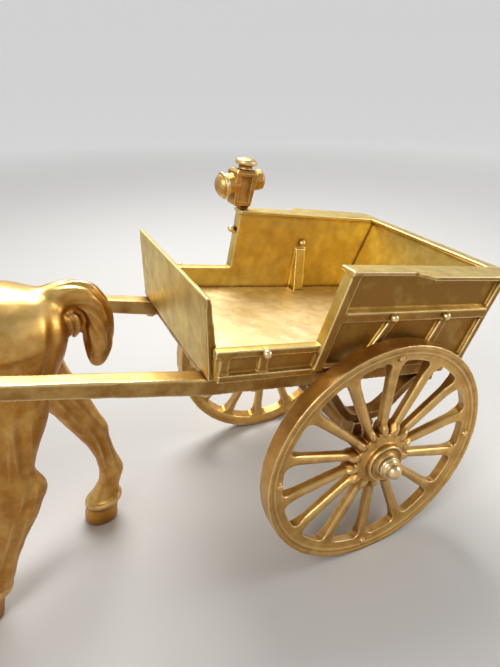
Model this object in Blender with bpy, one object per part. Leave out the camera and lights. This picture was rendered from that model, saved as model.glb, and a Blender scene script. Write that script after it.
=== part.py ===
"""Brass horse and two-wheeled cart: an ornament assembled from castings, turned pieces, bolts and rivets.

-X is forward, -Y is the near side, +Z is up, and sizes are in millimetres. The cart is drawn level about
its axle, then tipped nose-up until its shafts meet the horse. The horse is drawn standing, with X measured
from the axle.
"""

import math

import bmesh
import bpy
from mathutils import Matrix, Vector

MM = 0.001
CLEAR = 0.3  # between pieces that lie on each other
RUNNING = 0.4  # between pieces that turn on each other
LAP = 0.2  # by which forms cast in one miss each other's faces, so that no two faces lie in one plane
SIDES = (("near", -1), ("far", 1))

# How the cart stands
TILT = math.radians(10.0)

# Tray, with heights above the axle
BEARER_TOP = 38.1  # the shafts run back under the tray as its bearers
FLOOR_THICK = 3.5
TRAY_HALF = 43.5  # to the inside faces of the sides
WALL = 3.0
TRAY_FRONT = -79.0
TRAY_REAR = 38.0
SILL_HIGH = 10.6  # above the floor, as are the next three
MID_RAIL_LOW = 19.7
MID_RAIL_HIGH = 25.1
SIDE_HIGH = 40.6
LEDGE_DROP = 1.4  # below the floor's top
LEDGE_THICK = 2.8
LEDGE_PROUD = 2.3  # beyond the wall, as are the next seven
SILL_PROUD = 1.5
STILE_PROUD = 1.3
BRACE_PROUD = 2.1
FRAME_PROUD = 2.5
POST_PROUD = 2.8
RAIL_NARROW = {"near": 3.4, "far": 4.4}
RAIL_WIDE = {"near": 8.6, "far": 11.0}
RAIL_INSIDE = 2.0  # over the tray, in from the wall
RAIL_LAP = 0.8  # beyond the post in front
RAIL_THICK = 1.8
RAIL_STEP_X = -2.0
RAIL_STEP_LONG = 5.0
RAIL_ROUND = 8.0
SILL_RAIL_DEEP = 2.8
SILL_LEAN = 1.5
MID_RAIL_BEVEL = 1.6
POST_FOOT_X = {"near": -37.6, "far": -35.8}
POST_LEAN = {"near": 6.3, "far": 1.3}
POST_WIDE = 4.2
REAR_LEAN = 12.0  # how far the top of the tail overhangs its foot
REAR_POST_WIDE = 3.0
BRACE_WIDE = 4.0
BRACES = ((-5.5, -16.5), (22.5, 15.0))  # X of the top and of the foot of each slanting brace
STIFFENER_X = -61.3
RIB_X = 4.1
RIB_WIDE = 5.8
RIB_HIGH = 22.0
RIB_FOOT = 6.0  # how far the rib stands in from the wall up to the floor's top, and at its own top
RIB_TOP = 1.0

# Dashboard and tailboard
DASH_FOOT_X = -80.1
DASH_HIGH = 32.1
DASH_LEAN = 5.1
DASH_THIN = 2.1
DASH_THICK = 4.6
TAIL_THICK = 3.0
TAIL_FLANGE = 7.0

# Shafts and cross bars
SHAFT_WIDE = 7.5
SHAFT_DEEP = 7.1
SHAFT_INSET = 2.0  # of the bearer, in from the side
SHAFT_REAR = 40.0
SHAFT_BEND_X = -147.0
SHAFT_RISE = 4.65
SHAFT_CLOSING = 0.75
SHAFT_BEND_WIDE = 7.0
SHAFT_BEND_DEEP = 5.7
SHAFT_TIP_WIDE = 5.0
SHAFT_TIP_DEEP = 5.2
SHAFT_STEPS = 10
EYE_RADIUS = 5.0
CROSSBAR_LONG = 5.0
CROSSBAR_DEEP = 6.0
CROSSBARS = (("front", -74.5), ("rear", 32.0))

# Bolts
BOLT_RADIUS = 1.2
BOLT_HEAD = 2.4
BOLT_DOME = 1.8
BED_BOLTS = (("front", -58.0), ("rear", 14.0))
BED_BOLT_SKIN = 1.0  # left of the floor above a bolt
DASH_BOLT_IN = 1.9
DASH_BOLT_DEEP = 3.0

# Springs, axle and hub caps
AXLE_RADIUS = 3.6
JOURNAL_RADIUS = 2.8
CLAMP_LONG = 11.0
CLAMP_WIDE = 9.0
CLAMP_OVER = 5.1
CLAMP_UNDER = 1.5
CLAMP_BOLT_DEEP = 3.5
SPRING_HALF_SPAN = 28.0
SPRING_PAD = 7.0
SPRING_THICK = 4.0
SPRING_WIDE = 7.0
SPRING_STEPS = 6
SPRING_BOLT_DEEP = 4.0
CAP_RADIUS = 5.0
CAP_LENGTH = 7.0
CAP_BORE_DEEP = 3.5

# Wheels
WHEEL_RADIUS = 55.0
WHEEL_WIDTH = 8.0
WHEEL_GAP = 1.0  # between the side's frame and the tyre
WHEEL_SIDES = 56
SPOKE_COUNT = 14
SPOKE_DEPTH = 5.0
SPOKE_WIDTH_HUB = 3.0
SPOKE_WIDTH_RIM = 5.0
FELLOE_DEEP = 7.4
WINDOW_CORNER = 3.0
WINDOW_DRAFT = 1.6  # how much nearer the tyre the openings come at the back of the wheel
HUB_FLANGE_RADIUS = 12.4
HUB_DRUM_RADIUS = 9.0
HUB_FRONT = 8.5  # from the middle of the tyre, as is the next
HUB_BACK = 4.6
HUB_SIDES = 28
BOSS_RADIUS = 1.7
BOSS_DEEP = 5.4
BOSS_COUNT = 4
SPOKE_ANGLES = {"near": math.radians(137.2), "far": math.radians(134.0)}

# Ball-headed rivets
BALL_RADIUS = 1.75
BALL_SEAT = math.radians(25.0)  # how far below its widest ring a ball is cut flat
SHANK_RADIUS = 0.9
SHANK_LONG = 2.4
RIVET_AHEAD = 2.0  # of the top of a brace
POST_RIVET_HIGH = 30.0
POST_RIVET_STAND = 1.3  # how far its ball stands off the post

# Lamp, on the far front post
LAMP_X = -34.8
LAMP_FOOT_X = -32.6
LAMP_FOOT = 1.4
LAMP_FOOT_WIDE = 4.6
LAMP_LOW = 9.0  # width of the body at its foot, and at its shoulder
LAMP_BODY = 11.4
LAMP_HEIGHT = 17.2
LAMP_EDGE = 1.3
LAMP_PANE_SIDE = 1.6  # frame left beside the window, below it and above it
LAMP_PANE_FOOT = 2.2
LAMP_PANE_HEAD = 2.6
LAMP_PANE_DEEP = 0.5
LAMP_GLOW = 10.9
LAMP_DIP = math.radians(14.0)  # how far the lens looks down from the line of the cart
LAMP_COLLAR = 8.2
LAMP_COLLAR_RADIUS = 5.5
LAMP_REAR_RADIUS = 5.0
LAMP_REAR = 11.6
BEZEL_RADIUS = 6.6
BEZEL_LONG = 5.6
CHIMNEY_BACK = 0.8
CHIMNEY_RADIUS = 5.4
CHIMNEY_HIGH = 5.6
LAMP_STUD = 1.3
LAMP_STUD_UP = 4.2
LAMP_STUD_DOWN = 3.0

# Horse
PIN_X = -205.0
PIN_Z = 124.0
PIN_RADIUS = 1.8
PIN_HEAD = 3.4
PIN_SEAT = 3.2
HIND_TRACK = 17.0
FORE_TRACK = 13.5
BARREL_HALF = 26.5
BARREL_DEEP = 31.0
BARREL_Z = 108.5
GIRTH_LONG = 11.0
GIRTH_PROUD = 2.2
LUG_RADIUS = 5.0
LUG_PROUD = 1.4
COLLAR_X = -236.0
COLLAR_Z = 128.0
COLLAR_DEEP = 31.0
COLLAR_HALF = 22.5
COLLAR_LONG = 8.0
SOLE_DEPTH = 2.5  # how far the hooves are drawn below the ground before they are cut flat
VOXEL = 1.7
HORSE_KEEP = 0.09

# Heights and distances that follow from the above
FLOOR_UNDER = BEARER_TOP + CLEAR
FLOOR_TOP = FLOOR_UNDER + FLOOR_THICK
LEDGE_LOW = FLOOR_TOP - LEDGE_DROP
LEDGE_TOP = LEDGE_LOW + LEDGE_THICK
SILL_TOP = FLOOR_TOP + SILL_HIGH
SIDE_TOP = FLOOR_TOP + SIDE_HIGH
BEARER_LOW = BEARER_TOP - SHAFT_DEEP
BEARER_Y = TRAY_HALF - SHAFT_INSET - SHAFT_WIDE / 2
WALL_OUT = TRAY_HALF + WALL
FRAME_OUT = WALL_OUT + FRAME_PROUD
CLAMP_TOP = AXLE_RADIUS + CLAMP_OVER
SPRING_SEAT = CLAMP_TOP + CLEAR
WHEEL_MID = FRAME_OUT + WHEEL_GAP + WHEEL_WIDTH / 2
CAP_BACK = WHEEL_MID + HUB_FRONT + RUNNING
FELLOE_RADIUS = WHEEL_RADIUS - FELLOE_DEEP
LAMP_Y = WALL_OUT + 0.5
LAMP_BASE = SIDE_TOP + CLEAR + LAMP_FOOT
LUG_FACE = BARREL_HALF + GIRTH_PROUD + LUG_PROUD
EYE_IN = LUG_FACE + RUNNING
EYE_OUT = EYE_IN + SHAFT_TIP_WIDE


def clear_scene():
    for old in list(bpy.data.objects):
        bpy.data.objects.remove(old, do_unlink=True)


def brass(name, colour, roughness):
    made = bpy.data.materials.new(name)
    made.use_nodes = True
    shader = made.node_tree.nodes["Principled BSDF"]
    shader.inputs["Base Color"].default_value = (*colour, 1.0)
    shader.inputs["Metallic"].default_value = 1.0
    shader.inputs["Roughness"].default_value = roughness
    return made


def empty(name, parent=None, location=(0, 0, 0), rotation=(0, 0, 0)):
    made = bpy.data.objects.new(name, None)
    bpy.context.scene.collection.objects.link(made)
    made.parent = parent
    made.location = [value * MM for value in location]
    made.rotation_euler = rotation
    return made


def piece(name, bm, parent, material, smooth=False):
    """Turns bmesh geometry in millimetres into an object."""
    bmesh.ops.recalc_face_normals(bm, faces=bm.faces)
    bmesh.ops.scale(bm, vec=(MM, MM, MM), verts=bm.verts)
    mesh = bpy.data.meshes.new(name)
    bm.to_mesh(mesh)
    bm.free()
    if smooth:
        mesh.shade_smooth()
        mesh.set_sharp_from_angle(angle=math.radians(35))
    if material:
        mesh.materials.append(material)
    made = bpy.data.objects.new(name, mesh)
    bpy.context.scene.collection.objects.link(made)
    made.parent = parent
    return made


def form(name, bm, parent):
    """A shape that is only cut from a piece or joined to one."""
    made = piece(name, bm, parent, None)
    made.hide_render = True
    made.display_type = "WIRE"
    return made


def combine(target, operation, others):
    for other in others:
        modifier = target.modifiers.new(f"{operation.lower()}_{other.name}", "BOOLEAN")
        modifier.operation = operation
        modifier.solver = "EXACT"
        modifier.object = other


def skin(bm, rings, closed=False):
    """Faces between rings of points, and the two ends unless the rings form a closed loop."""
    made = [[bm.verts.new(point) for point in ring] for ring in rings]
    pairs = list(zip(made, made[1:]))
    if closed:
        pairs.append((made[-1], made[0]))
    else:
        bm.faces.new(made[0])
        bm.faces.new(made[-1])
    for one, two in pairs:
        for i in range(len(one)):
            j = (i + 1) % len(one)
            bm.faces.new((one[i], one[j], two[j], two[i]))
    return bm


def prism(outline, low_y, high_y):
    """A closed outline in X and Z, drawn out along Y."""
    return skin(bmesh.new(), [[(x, y, z) for x, z in outline] for y in (low_y, high_y)])


def slab(outline, low_z, high_z):
    """A closed outline in X and Y, drawn out along Z."""
    return skin(bmesh.new(), [[(x, y, z) for x, y in outline] for z in (low_z, high_z)])


def block(low, high):
    return slab([(low[0], low[1]), (high[0], low[1]), (high[0], high[1]), (low[0], high[1])], low[2], high[2])


def bar(stations):
    """A four-sided bar through stations of (x, y, z, half depth, half width), upright in section."""
    corners = ((-1, -1), (1, -1), (1, 1), (-1, 1))
    rings = [[(x, y + a * wide, z + b * deep) for a, b in corners] for x, y, z, deep, wide in stations]
    return skin(bmesh.new(), rings)


def turned(profile, segments, place):
    """Turns a profile of (radius, height) about Z, then places it. Only its ends may lie on the axis."""
    bm = bmesh.new()
    inner = [point for point in profile if point[0] > 0]
    rings = []
    for radius, height in inner:
        angles = [2 * math.pi * i / segments for i in range(segments)]
        rings.append([(radius * math.cos(a), radius * math.sin(a), height) for a in angles])
    skin(bm, rings, closed=len(inner) == len(profile))
    ends = [face for face in bm.faces if len(face.verts) == segments and segments > 4]
    tips = [point[1] for point in (profile[0], profile[-1]) if point[0] == 0]
    for face in ends:
        height = face.calc_center_median().z
        tip = min(tips, key=lambda z: abs(z - height))
        if abs(tip - height) > 1e-6:
            bmesh.ops.poke(bm, faces=[face])
            bm.verts.ensure_lookup_table()
            bm.verts[-1].co.z = tip
    bmesh.ops.transform(bm, matrix=place, verts=bm.verts)
    return bm


def rod(radius, low, high, segments, place):
    return turned([(0, low), (radius, low), (radius, high), (0, high)], segments, place)


def upward(x, y, z):
    return Matrix.Translation((x, y, z))


def downward(x, y, z):
    return Matrix.Translation((x, y, z)) @ Matrix.Rotation(math.pi, 4, "X")


def outward(x, y, z, sign):
    """Points a turned piece away from the middle of the cart, on that side."""
    return Matrix.Translation((x, y, z)) @ Matrix.Rotation(-sign * math.pi / 2, 4, "X")


def forward(x, y, z, dip=0.0):
    return Matrix.Translation((x, y, z)) @ Matrix.Rotation(-math.pi / 2 - dip, 4, "Y")


def levelled(x, z):
    """A point of the standing frame, in the level cart's."""
    up = z - WHEEL_RADIUS
    return x * math.cos(TILT) - up * math.sin(TILT), up * math.cos(TILT) + x * math.sin(TILT)


def tail_x(z):
    """X of the tail's outer edge at height z: it leans back from the ledge to the top rail."""
    return TRAY_REAR + TAIL_THICK + REAR_LEAN * (z - LEDGE_LOW) / (SIDE_TOP - LEDGE_LOW)


def post_x(prefix, z):
    """X of the front edge of a side's front post at height z."""
    return POST_FOOT_X[prefix] + POST_LEAN[prefix] * (z - SILL_TOP) / (SIDE_TOP - SILL_TOP)


def dash_x(z):
    """X of the dashboard's front face at height z: it leans forward."""
    return DASH_FOOT_X - DASH_LEAN * (z - FLOOR_UNDER) / DASH_HIGH


def slanted(foot, top, low, high, wide):
    """Outline of a straight bar that leans, from the X of its middle at both ends."""
    return [(foot - wide / 2, low), (foot + wide / 2, low), (top + wide / 2, high), (top - wide / 2, high)]


def ball_rivet(name, place, parent, material, stand=0.0):
    """A round head on a short shank, and the hole that the shank needs."""
    centre = CLEAR + stand + BALL_RADIUS * math.sin(BALL_SEAT)
    profile = [(0, -SHANK_LONG), (SHANK_RADIUS, -SHANK_LONG), (SHANK_RADIUS, CLEAR + stand)]
    for i in range(4):
        a = -BALL_SEAT + (math.pi / 2 + BALL_SEAT) * i / 4
        profile.append((BALL_RADIUS * math.cos(a), centre + BALL_RADIUS * math.sin(a)))
    profile.append((0, centre + BALL_RADIUS))
    piece(name, turned(profile, 10, place), parent, material, smooth=True)
    return form(f"{name}_hole", rod(SHANK_RADIUS + CLEAR, -SHANK_LONG - CLEAR, SHANK_LONG, 10, place), parent)


def bolt(name, place, length, parent, material):
    """A domed bolt whose head lies at the place and whose shank goes on from it."""
    shape = [(0, 1), (0.6, 0.85), (1, 0.5)]
    profile = [(BOLT_HEAD * out, -CLEAR - BOLT_DOME * high) for out, high in shape]
    profile += [(BOLT_HEAD, -CLEAR), (BOLT_RADIUS, -CLEAR), (BOLT_RADIUS, length), (0, length)]
    piece(name, turned(profile, 10, place), parent, material, smooth=True)
    return form(f"{name}_hole", rod(BOLT_RADIUS + CLEAR, -CLEAR, length + CLEAR, 10, place), parent)


def top_rail_outline(prefix, sign):
    """The flat rail from above: narrow in front, stepped out over the wheel, round at the rear corner."""
    front, rear = post_x(prefix, SIDE_TOP) - RAIL_LAP, tail_x(SIDE_TOP)
    inside = TRAY_HALF - RAIL_INSIDE
    narrow, wide = WALL_OUT + RAIL_NARROW[prefix], WALL_OUT + RAIL_WIDE[prefix]
    outline = [(front, inside), (front, narrow), (RAIL_STEP_X, narrow), (RAIL_STEP_X + RAIL_STEP_LONG, wide)]
    for i in range(5):
        a = math.pi / 2 * (1 - i / 4)
        outline.append((rear - RAIL_ROUND * (1 - math.cos(a)), wide - RAIL_ROUND * (1 - math.sin(a))))
    outline.append((rear, inside))
    return [(x, sign * y) for x, y in outline]


def side_forms(prefix, sign):
    """What is cast on one side's wall: its rails, posts, ledge, braces and inner rib."""
    root = TRAY_HALF + WALL / 2  # each form starts inside the wall
    sunk = 1.0  # and runs on into the rail or ledge at its end
    post_middle = POST_WIDE / 2 - LAP

    def cast(outline, proud, start=root):
        low, high = sorted((sign * start, sign * (WALL_OUT + proud)))
        return prism(outline, low, high)

    def upright(foot, top, high, wide, proud):
        return cast(slanted(foot, top, LEDGE_TOP - sunk, high, wide), proud)

    mid_low, mid_high = FLOOR_TOP + MID_RAIL_LOW, FLOOR_TOP + MID_RAIL_HIGH
    section = [(root, mid_low), (FRAME_OUT, mid_low), (FRAME_OUT, mid_high - MID_RAIL_BEVEL)]
    section.append((root, mid_high + MID_RAIL_BEVEL * (WALL_OUT - root) / FRAME_PROUD))
    rear_middle = REAR_POST_WIDE / 2 + LAP
    mid_ends = (post_x(prefix, mid_low) + post_middle, tail_x(mid_low) - rear_middle)
    ledge_rear = tail_x(LEDGE_LOW) - LAP
    ledge = [(TRAY_FRONT - LAP, LEDGE_LOW), (ledge_rear, LEDGE_LOW), (ledge_rear, LEDGE_TOP)]
    ledge.append((TRAY_FRONT - LAP, LEDGE_TOP))
    sill_low = SILL_TOP - SILL_RAIL_DEEP
    sill_front, sill_rear = TRAY_FRONT - SILL_LEAN - LAP, post_x(prefix, SILL_TOP) + post_middle
    sill = [(sill_front, sill_low), (sill_rear, sill_low), (sill_rear, SILL_TOP), (sill_front, SILL_TOP)]
    rib_low, rib_high = LEDGE_LOW + 2 * LAP, FLOOR_TOP + RIB_HIGH
    rib_foot, rib_top = TRAY_HALF - RIB_FOOT, TRAY_HALF - RIB_TOP
    rib = [(root, rib_low), (rib_foot, rib_low), (rib_foot, FLOOR_TOP), (rib_top, rib_high), (root, rib_high)]
    rib_ends = (RIB_X - RIB_WIDE / 2, RIB_X + RIB_WIDE / 2)
    stile = TRAY_FRONT + BRACE_WIDE / 2 + LAP
    post_low, post_high = LEDGE_TOP - sunk, SIDE_TOP - sunk
    post_ends = [post_x(prefix, z) + post_middle for z in (post_low, post_high)]
    rear_ends = [tail_x(z) - rear_middle for z in (post_low, post_high)]
    forms = {
        "ledge": cast(ledge, LEDGE_PROUD),
        "sill_rail": cast(sill, SILL_PROUD),
        "front_stile": upright(stile, stile, SILL_TOP - sunk, BRACE_WIDE, STILE_PROUD),
        "stiffener": upright(STIFFENER_X, STIFFENER_X, SILL_TOP - sunk, BRACE_WIDE, STILE_PROUD),
        "post": upright(*post_ends, post_high, POST_WIDE, POST_PROUD),
        "rear_post": upright(*rear_ends, post_high, REAR_POST_WIDE, BRACE_PROUD),
        "top_rail": slab(top_rail_outline(prefix, sign), SIDE_TOP - RAIL_THICK, SIDE_TOP),
        "mid_rail": skin(bmesh.new(), [[(x, sign * y, z) for y, z in section] for x in mid_ends]),
        "inner_rib": skin(bmesh.new(), [[(x, sign * y, z) for y, z in rib] for x in rib_ends]),
    }
    for i, (top, foot) in enumerate(BRACES):
        forms[f"brace_{i}"] = upright(foot, top, mid_low + sunk, BRACE_WIDE, BRACE_PROUD)
    return forms


def make_side(prefix, sign, cart, material, rivet_material):
    """One cast side, low in front and high behind, with its riveted ball heads."""
    top, foot, sill = SIDE_TOP - RAIL_THICK / 2, LEDGE_LOW + LAP, SILL_TOP - LAP
    wall = [(TRAY_FRONT, foot), (tail_x(foot), foot), (tail_x(top), top), (post_x(prefix, top), top)]
    wall += [(post_x(prefix, sill), sill), (TRAY_FRONT - SILL_LEAN, sill)]
    low, high = sorted((sign * TRAY_HALF, sign * WALL_OUT))
    side = piece(f"{prefix}_side", prism(wall, low, high), cart, material)
    forms = side_forms(prefix, sign)
    combine(side, "UNION", [form(f"{prefix}_side_{name}", bm, cart) for name, bm in forms.items()])
    mid_z = FLOOR_TOP + (MID_RAIL_LOW + MID_RAIL_HIGH - MID_RAIL_BEVEL) / 2
    sill_out, sill_z = WALL_OUT + SILL_PROUD, SILL_TOP - SILL_RAIL_DEEP / 2
    places = {
        "sill_rivet": outward(STIFFENER_X, sign * sill_out, sill_z, sign),
        "front_brace_rivet": outward(BRACES[0][0] - RIVET_AHEAD, sign * FRAME_OUT, mid_z, sign),
        "rear_brace_rivet": outward(BRACES[1][0] - RIVET_AHEAD, sign * FRAME_OUT, mid_z, sign),
        "inner_rib_rivet": outward(RIB_X, sign * TRAY_HALF, FLOOR_TOP + MID_RAIL_HIGH, -sign),
    }
    holes = [ball_rivet(f"{prefix}_{name}", place, cart, rivet_material) for name, place in places.items()]
    if prefix == "far":
        rivet_z = FLOOR_TOP + POST_RIVET_HIGH
        place = forward(post_x(prefix, rivet_z), sign * WALL_OUT, rivet_z)
        holes.append(ball_rivet("far_post_rivet", place, cart, rivet_material, POST_RIVET_STAND))
    combine(side, "DIFFERENCE", holes)
    return side


def shaft_stations(sign):
    """A shaft's sections from its rear end to its eye: level, then rising, then curving down and in."""
    mid_z = BEARER_TOP - SHAFT_DEEP / 2
    bend = Vector((SHAFT_BEND_X, mid_z + SHAFT_RISE))
    tip = Vector(levelled(PIN_X, PIN_Z))
    reach = (bend.x - tip.x) / 2
    guide = bend + Vector((-reach, SHAFT_RISE / (TRAY_FRONT - SHAFT_BEND_X) * reach))
    bend_y, tip_y = BEARER_Y - SHAFT_CLOSING, (EYE_IN + EYE_OUT) / 2
    stations = [(x, sign * BEARER_Y, mid_z, SHAFT_DEEP / 2, SHAFT_WIDE / 2) for x in (SHAFT_REAR, TRAY_FRONT)]
    for i in range(SHAFT_STEPS + 1):
        t = i / SHAFT_STEPS
        at = bend * (1 - t) ** 2 + guide * 2 * t * (1 - t) + tip * t * t
        y = bend_y + (tip_y - bend_y) * t * t * (3 - 2 * t)
        deep = SHAFT_BEND_DEEP + (SHAFT_TIP_DEEP - SHAFT_BEND_DEEP) * t
        wide = SHAFT_BEND_WIDE + (SHAFT_TIP_WIDE - SHAFT_BEND_WIDE) * t
        stations.append((at.x, sign * y, at.y, deep / 2, wide / 2))
    return stations


def make_shaft(prefix, sign, cart, material):
    """A shaft with the eye that its pin goes through."""
    tip_x, tip_z = levelled(PIN_X, PIN_Z)
    place = outward(tip_x, 0, tip_z, sign)
    shaft = piece(f"{prefix}_shaft", bar(shaft_stations(sign)), cart, material)
    combine(shaft, "UNION", [form(f"{prefix}_shaft_eye", rod(EYE_RADIUS, EYE_IN, EYE_OUT, 20, place), cart)])
    bore = rod(PIN_RADIUS + RUNNING, EYE_IN - 2, EYE_OUT + 2, 16, place)
    combine(shaft, "DIFFERENCE", [form(f"{prefix}_shaft_bore", bore, cart)])
    return shaft


def make_floor(cart, material):
    """The tray's floor, notched for the foot of each side's rib, and the two cross bars under it."""
    half = TRAY_HALF - CLEAR
    front = dash_x(FLOOR_UNDER) + DASH_THICK + CLEAR
    rear = tail_x(FLOOR_UNDER) - TAIL_THICK - CLEAR
    notch, notch_end = RIB_WIDE / 2 + CLEAR, TRAY_HALF - RIB_FOOT - CLEAR
    edge = [(rear, half), (RIB_X + notch, half), (RIB_X + notch, notch_end)]
    edge += [(RIB_X - notch, notch_end), (RIB_X - notch, half), (front, half)]
    outline = edge + [(x, -y) for x, y in edge[::-1]]
    end = BEARER_Y - SHAFT_WIDE / 2 - CLEAR
    for name, x in CROSSBARS:
        bar_low = (x - CROSSBAR_LONG / 2, -end, BEARER_TOP - CROSSBAR_DEEP)
        piece(f"{name}_crossbar", block(bar_low, (x + CROSSBAR_LONG / 2, end, BEARER_TOP)), cart, material)
    return piece("tray_floor", slab(outline, FLOOR_UNDER, FLOOR_TOP), cart, material)


def make_dashboard(cart, material):
    """The board between the sides in front: it leans forward and thickens towards its foot."""
    top = FLOOR_UNDER + DASH_HIGH
    outline = [(dash_x(FLOOR_UNDER), FLOOR_UNDER), (dash_x(top), top), (dash_x(top) + DASH_THIN, top)]
    outline.append((dash_x(FLOOR_UNDER) + DASH_THICK, FLOOR_UNDER))
    half = TRAY_HALF - CLEAR
    return piece("dashboard", prism(outline, -half, half), cart, material)


def make_tailboard(cart, material):
    """The board between the sides behind, with a flange level with the top rails and set in between them."""
    shoulder = SIDE_TOP - RAIL_THICK
    board_top = shoulder - CLEAR
    lower = ((FLOOR_UNDER, TAIL_THICK), (FLOOR_UNDER, 0), (board_top, 0))
    outline = [(tail_x(z) - inset, z) for z, inset in lower]
    outline.append((tail_x(board_top) - TAIL_THICK, board_top))
    half = TRAY_HALF - CLEAR
    board = piece("tailboard", prism(outline, -half, half), cart, material)
    inside = tail_x(SIDE_TOP) - TAIL_FLANGE
    root = board_top - RAIL_THICK
    flange = [(tail_x(root) - TAIL_THICK, root), (tail_x(root), root), (tail_x(SIDE_TOP), SIDE_TOP)]
    flange += [(inside, SIDE_TOP), (inside, shoulder), (tail_x(shoulder) - TAIL_THICK, shoulder)]
    half = TRAY_HALF - RAIL_INSIDE - CLEAR
    combine(board, "UNION", [form("tailboard_flange", prism(flange, -half, half), cart)])


def bolt_bed(prefix, sign, cart, shaft, floor, dash, material):
    """The bolts that hold the floor and the dashboard down on one bearer."""
    y = sign * BEARER_Y
    for name, x in BED_BOLTS:
        length = SHAFT_DEEP + CLEAR + FLOOR_THICK - BED_BOLT_SKIN - CLEAR
        hole = bolt(f"{prefix}_{name}_bed_bolt", upward(x, y, BEARER_LOW), length, cart, material)
        combine(shaft, "DIFFERENCE", [hole])
        combine(floor, "DIFFERENCE", [hole])
    place = upward(dash_x(FLOOR_UNDER) + DASH_BOLT_IN, y, BEARER_LOW)
    hole = bolt(f"{prefix}_dash_bolt", place, SHAFT_DEEP + CLEAR + DASH_BOLT_DEEP, cart, material)
    combine(shaft, "DIFFERENCE", [hole])
    combine(dash, "DIFFERENCE", [hole])


def spring_outline():
    """The leaf's side view: flat on the clamp, then bowed up to flat pads at its ends."""
    rise = BEARER_LOW - CLEAR - SPRING_THICK - SPRING_SEAT
    flat = CLAMP_LONG / 2
    rear_half = []
    for i in range(SPRING_STEPS + 1):
        t = i / SPRING_STEPS
        lift = rise * (1 - math.cos(math.pi * t)) / 2
        rear_half.append((flat + (SPRING_HALF_SPAN - flat) * t, SPRING_SEAT + SPRING_THICK / 2 + lift))
    rear_half.append((SPRING_HALF_SPAN + SPRING_PAD, rear_half[-1][1]))
    middle = [(-x, z) for x, z in rear_half[::-1]] + rear_half
    upper, lower = [], []
    for i, (x, z) in enumerate(middle):
        before, after = middle[max(i - 1, 0)], middle[min(i + 1, len(middle) - 1)]
        dx, dz = after[0] - before[0], after[1] - before[1]
        reach = SPRING_THICK / 2 / math.hypot(dx, dz)
        upper.append((x - dz * reach, z + dx * reach))
        lower.append((x + dz * reach, z - dx * reach))
    return upper + lower[::-1]


def make_spring(prefix, sign, cart, shaft, material, bolt_material):
    """A bowed leaf spring bolted under its bearer, and the clamp that holds it on the axle."""
    y = sign * BEARER_Y
    blade = prism(spring_outline(), y - SPRING_WIDE / 2, y + SPRING_WIDE / 2)
    spring = piece(f"{prefix}_leaf_spring", blade, cart, material)
    end = SPRING_HALF_SPAN + SPRING_PAD / 2
    for name, x in (("front", -end), ("rear", end)):
        place = upward(x, y, BEARER_LOW - CLEAR - SPRING_THICK)
        length = SPRING_THICK + CLEAR + SPRING_BOLT_DEEP
        hole = bolt(f"{prefix}_{name}_spring_bolt", place, length, cart, bolt_material)
        combine(spring, "DIFFERENCE", [hole])
        combine(shaft, "DIFFERENCE", [hole])
    half_long, half_wide = CLAMP_LONG / 2, CLAMP_WIDE / 2
    foot = -AXLE_RADIUS - CLAMP_UNDER
    taper = CLAMP_LONG / 4
    outline = [(-half_long, CLAMP_TOP), (half_long, CLAMP_TOP), (half_long, 0), (half_long - taper, foot)]
    outline += [(taper - half_long, foot), (-half_long, 0)]
    clamp = piece(f"{prefix}_axle_clamp", prism(outline, y - half_wide, y + half_wide), cart, material)
    bore = rod(AXLE_RADIUS + CLEAR, -half_wide - 2, half_wide + 2, 24, outward(0, y, 0, sign))
    combine(clamp, "DIFFERENCE", [form(f"{prefix}_clamp_bore", bore, cart)])
    place = downward(0, y, SPRING_SEAT + SPRING_THICK)
    hole = bolt(f"{prefix}_clamp_bolt", place, SPRING_THICK + CLEAR + CLAMP_BOLT_DEEP, cart, bolt_material)
    combine(spring, "DIFFERENCE", [hole])
    combine(clamp, "DIFFERENCE", [hole])


def make_axle(cart, material):
    """The fixed axle: thick between the wheels, with a journal at each end for a wheel and its cap."""
    shoulder = WHEEL_MID - HUB_BACK - RUNNING
    end = CAP_BACK + CAP_BORE_DEEP - CLEAR
    profile = [(0, -end), (JOURNAL_RADIUS, -end), (JOURNAL_RADIUS, -shoulder), (AXLE_RADIUS, -shoulder)]
    profile += [(AXLE_RADIUS, shoulder), (JOURNAL_RADIUS, shoulder), (JOURNAL_RADIUS, end), (0, end)]
    piece("axle", turned(profile, 24, outward(0, 0, 0, 1)), cart, material, smooth=True)


def make_hub_cap(prefix, sign, cart, material):
    """The stepped, bullet-nosed cap pressed on the end of the axle."""
    bore = JOURNAL_RADIUS + CLEAR
    length, radius = CAP_LENGTH, CAP_RADIUS
    shape = [(1, 0), (1, 0.2), (0.86, 0.36), (0.7, 0.4), (0.64, 0.62), (0.45, 0.84), (0.2, 0.97)]
    outside = [(radius * out, length * along) for out, along in shape]
    profile = [(0, CAP_BORE_DEEP), (bore, CAP_BORE_DEEP), (bore, 0), *outside, (0, length)]
    place = outward(0, sign * CAP_BACK, 0, sign)
    piece(f"{prefix}_hub_cap", turned(profile, 18, place), cart, material, smooth=True)


def window_outline(middle, felloe):
    """One opening between two spokes: narrow at the hub, with round corners at the felloe."""

    def edge(radius):
        share = radius / FELLOE_RADIUS
        wide = SPOKE_WIDTH_HUB + (SPOKE_WIDTH_RIM - SPOKE_WIDTH_HUB) * share
        return math.pi / SPOKE_COUNT - math.asin(wide / 2 / radius)

    root = HUB_FLANGE_RADIUS - 1.2
    points = [(root, -edge(root))]
    for i in range(4):
        a = math.pi / 2 * i / 3
        radius = felloe - WINDOW_CORNER * (1 - math.sin(a))
        points.append((radius, WINDOW_CORNER * (1 - math.cos(a)) / radius - edge(radius)))
    mirrored = [(radius, -angle) for radius, angle in points[::-1]]
    points += [(felloe, 0), *mirrored]
    return [(radius * math.cos(middle + a), radius * math.sin(middle + a)) for radius, a in points]


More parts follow.
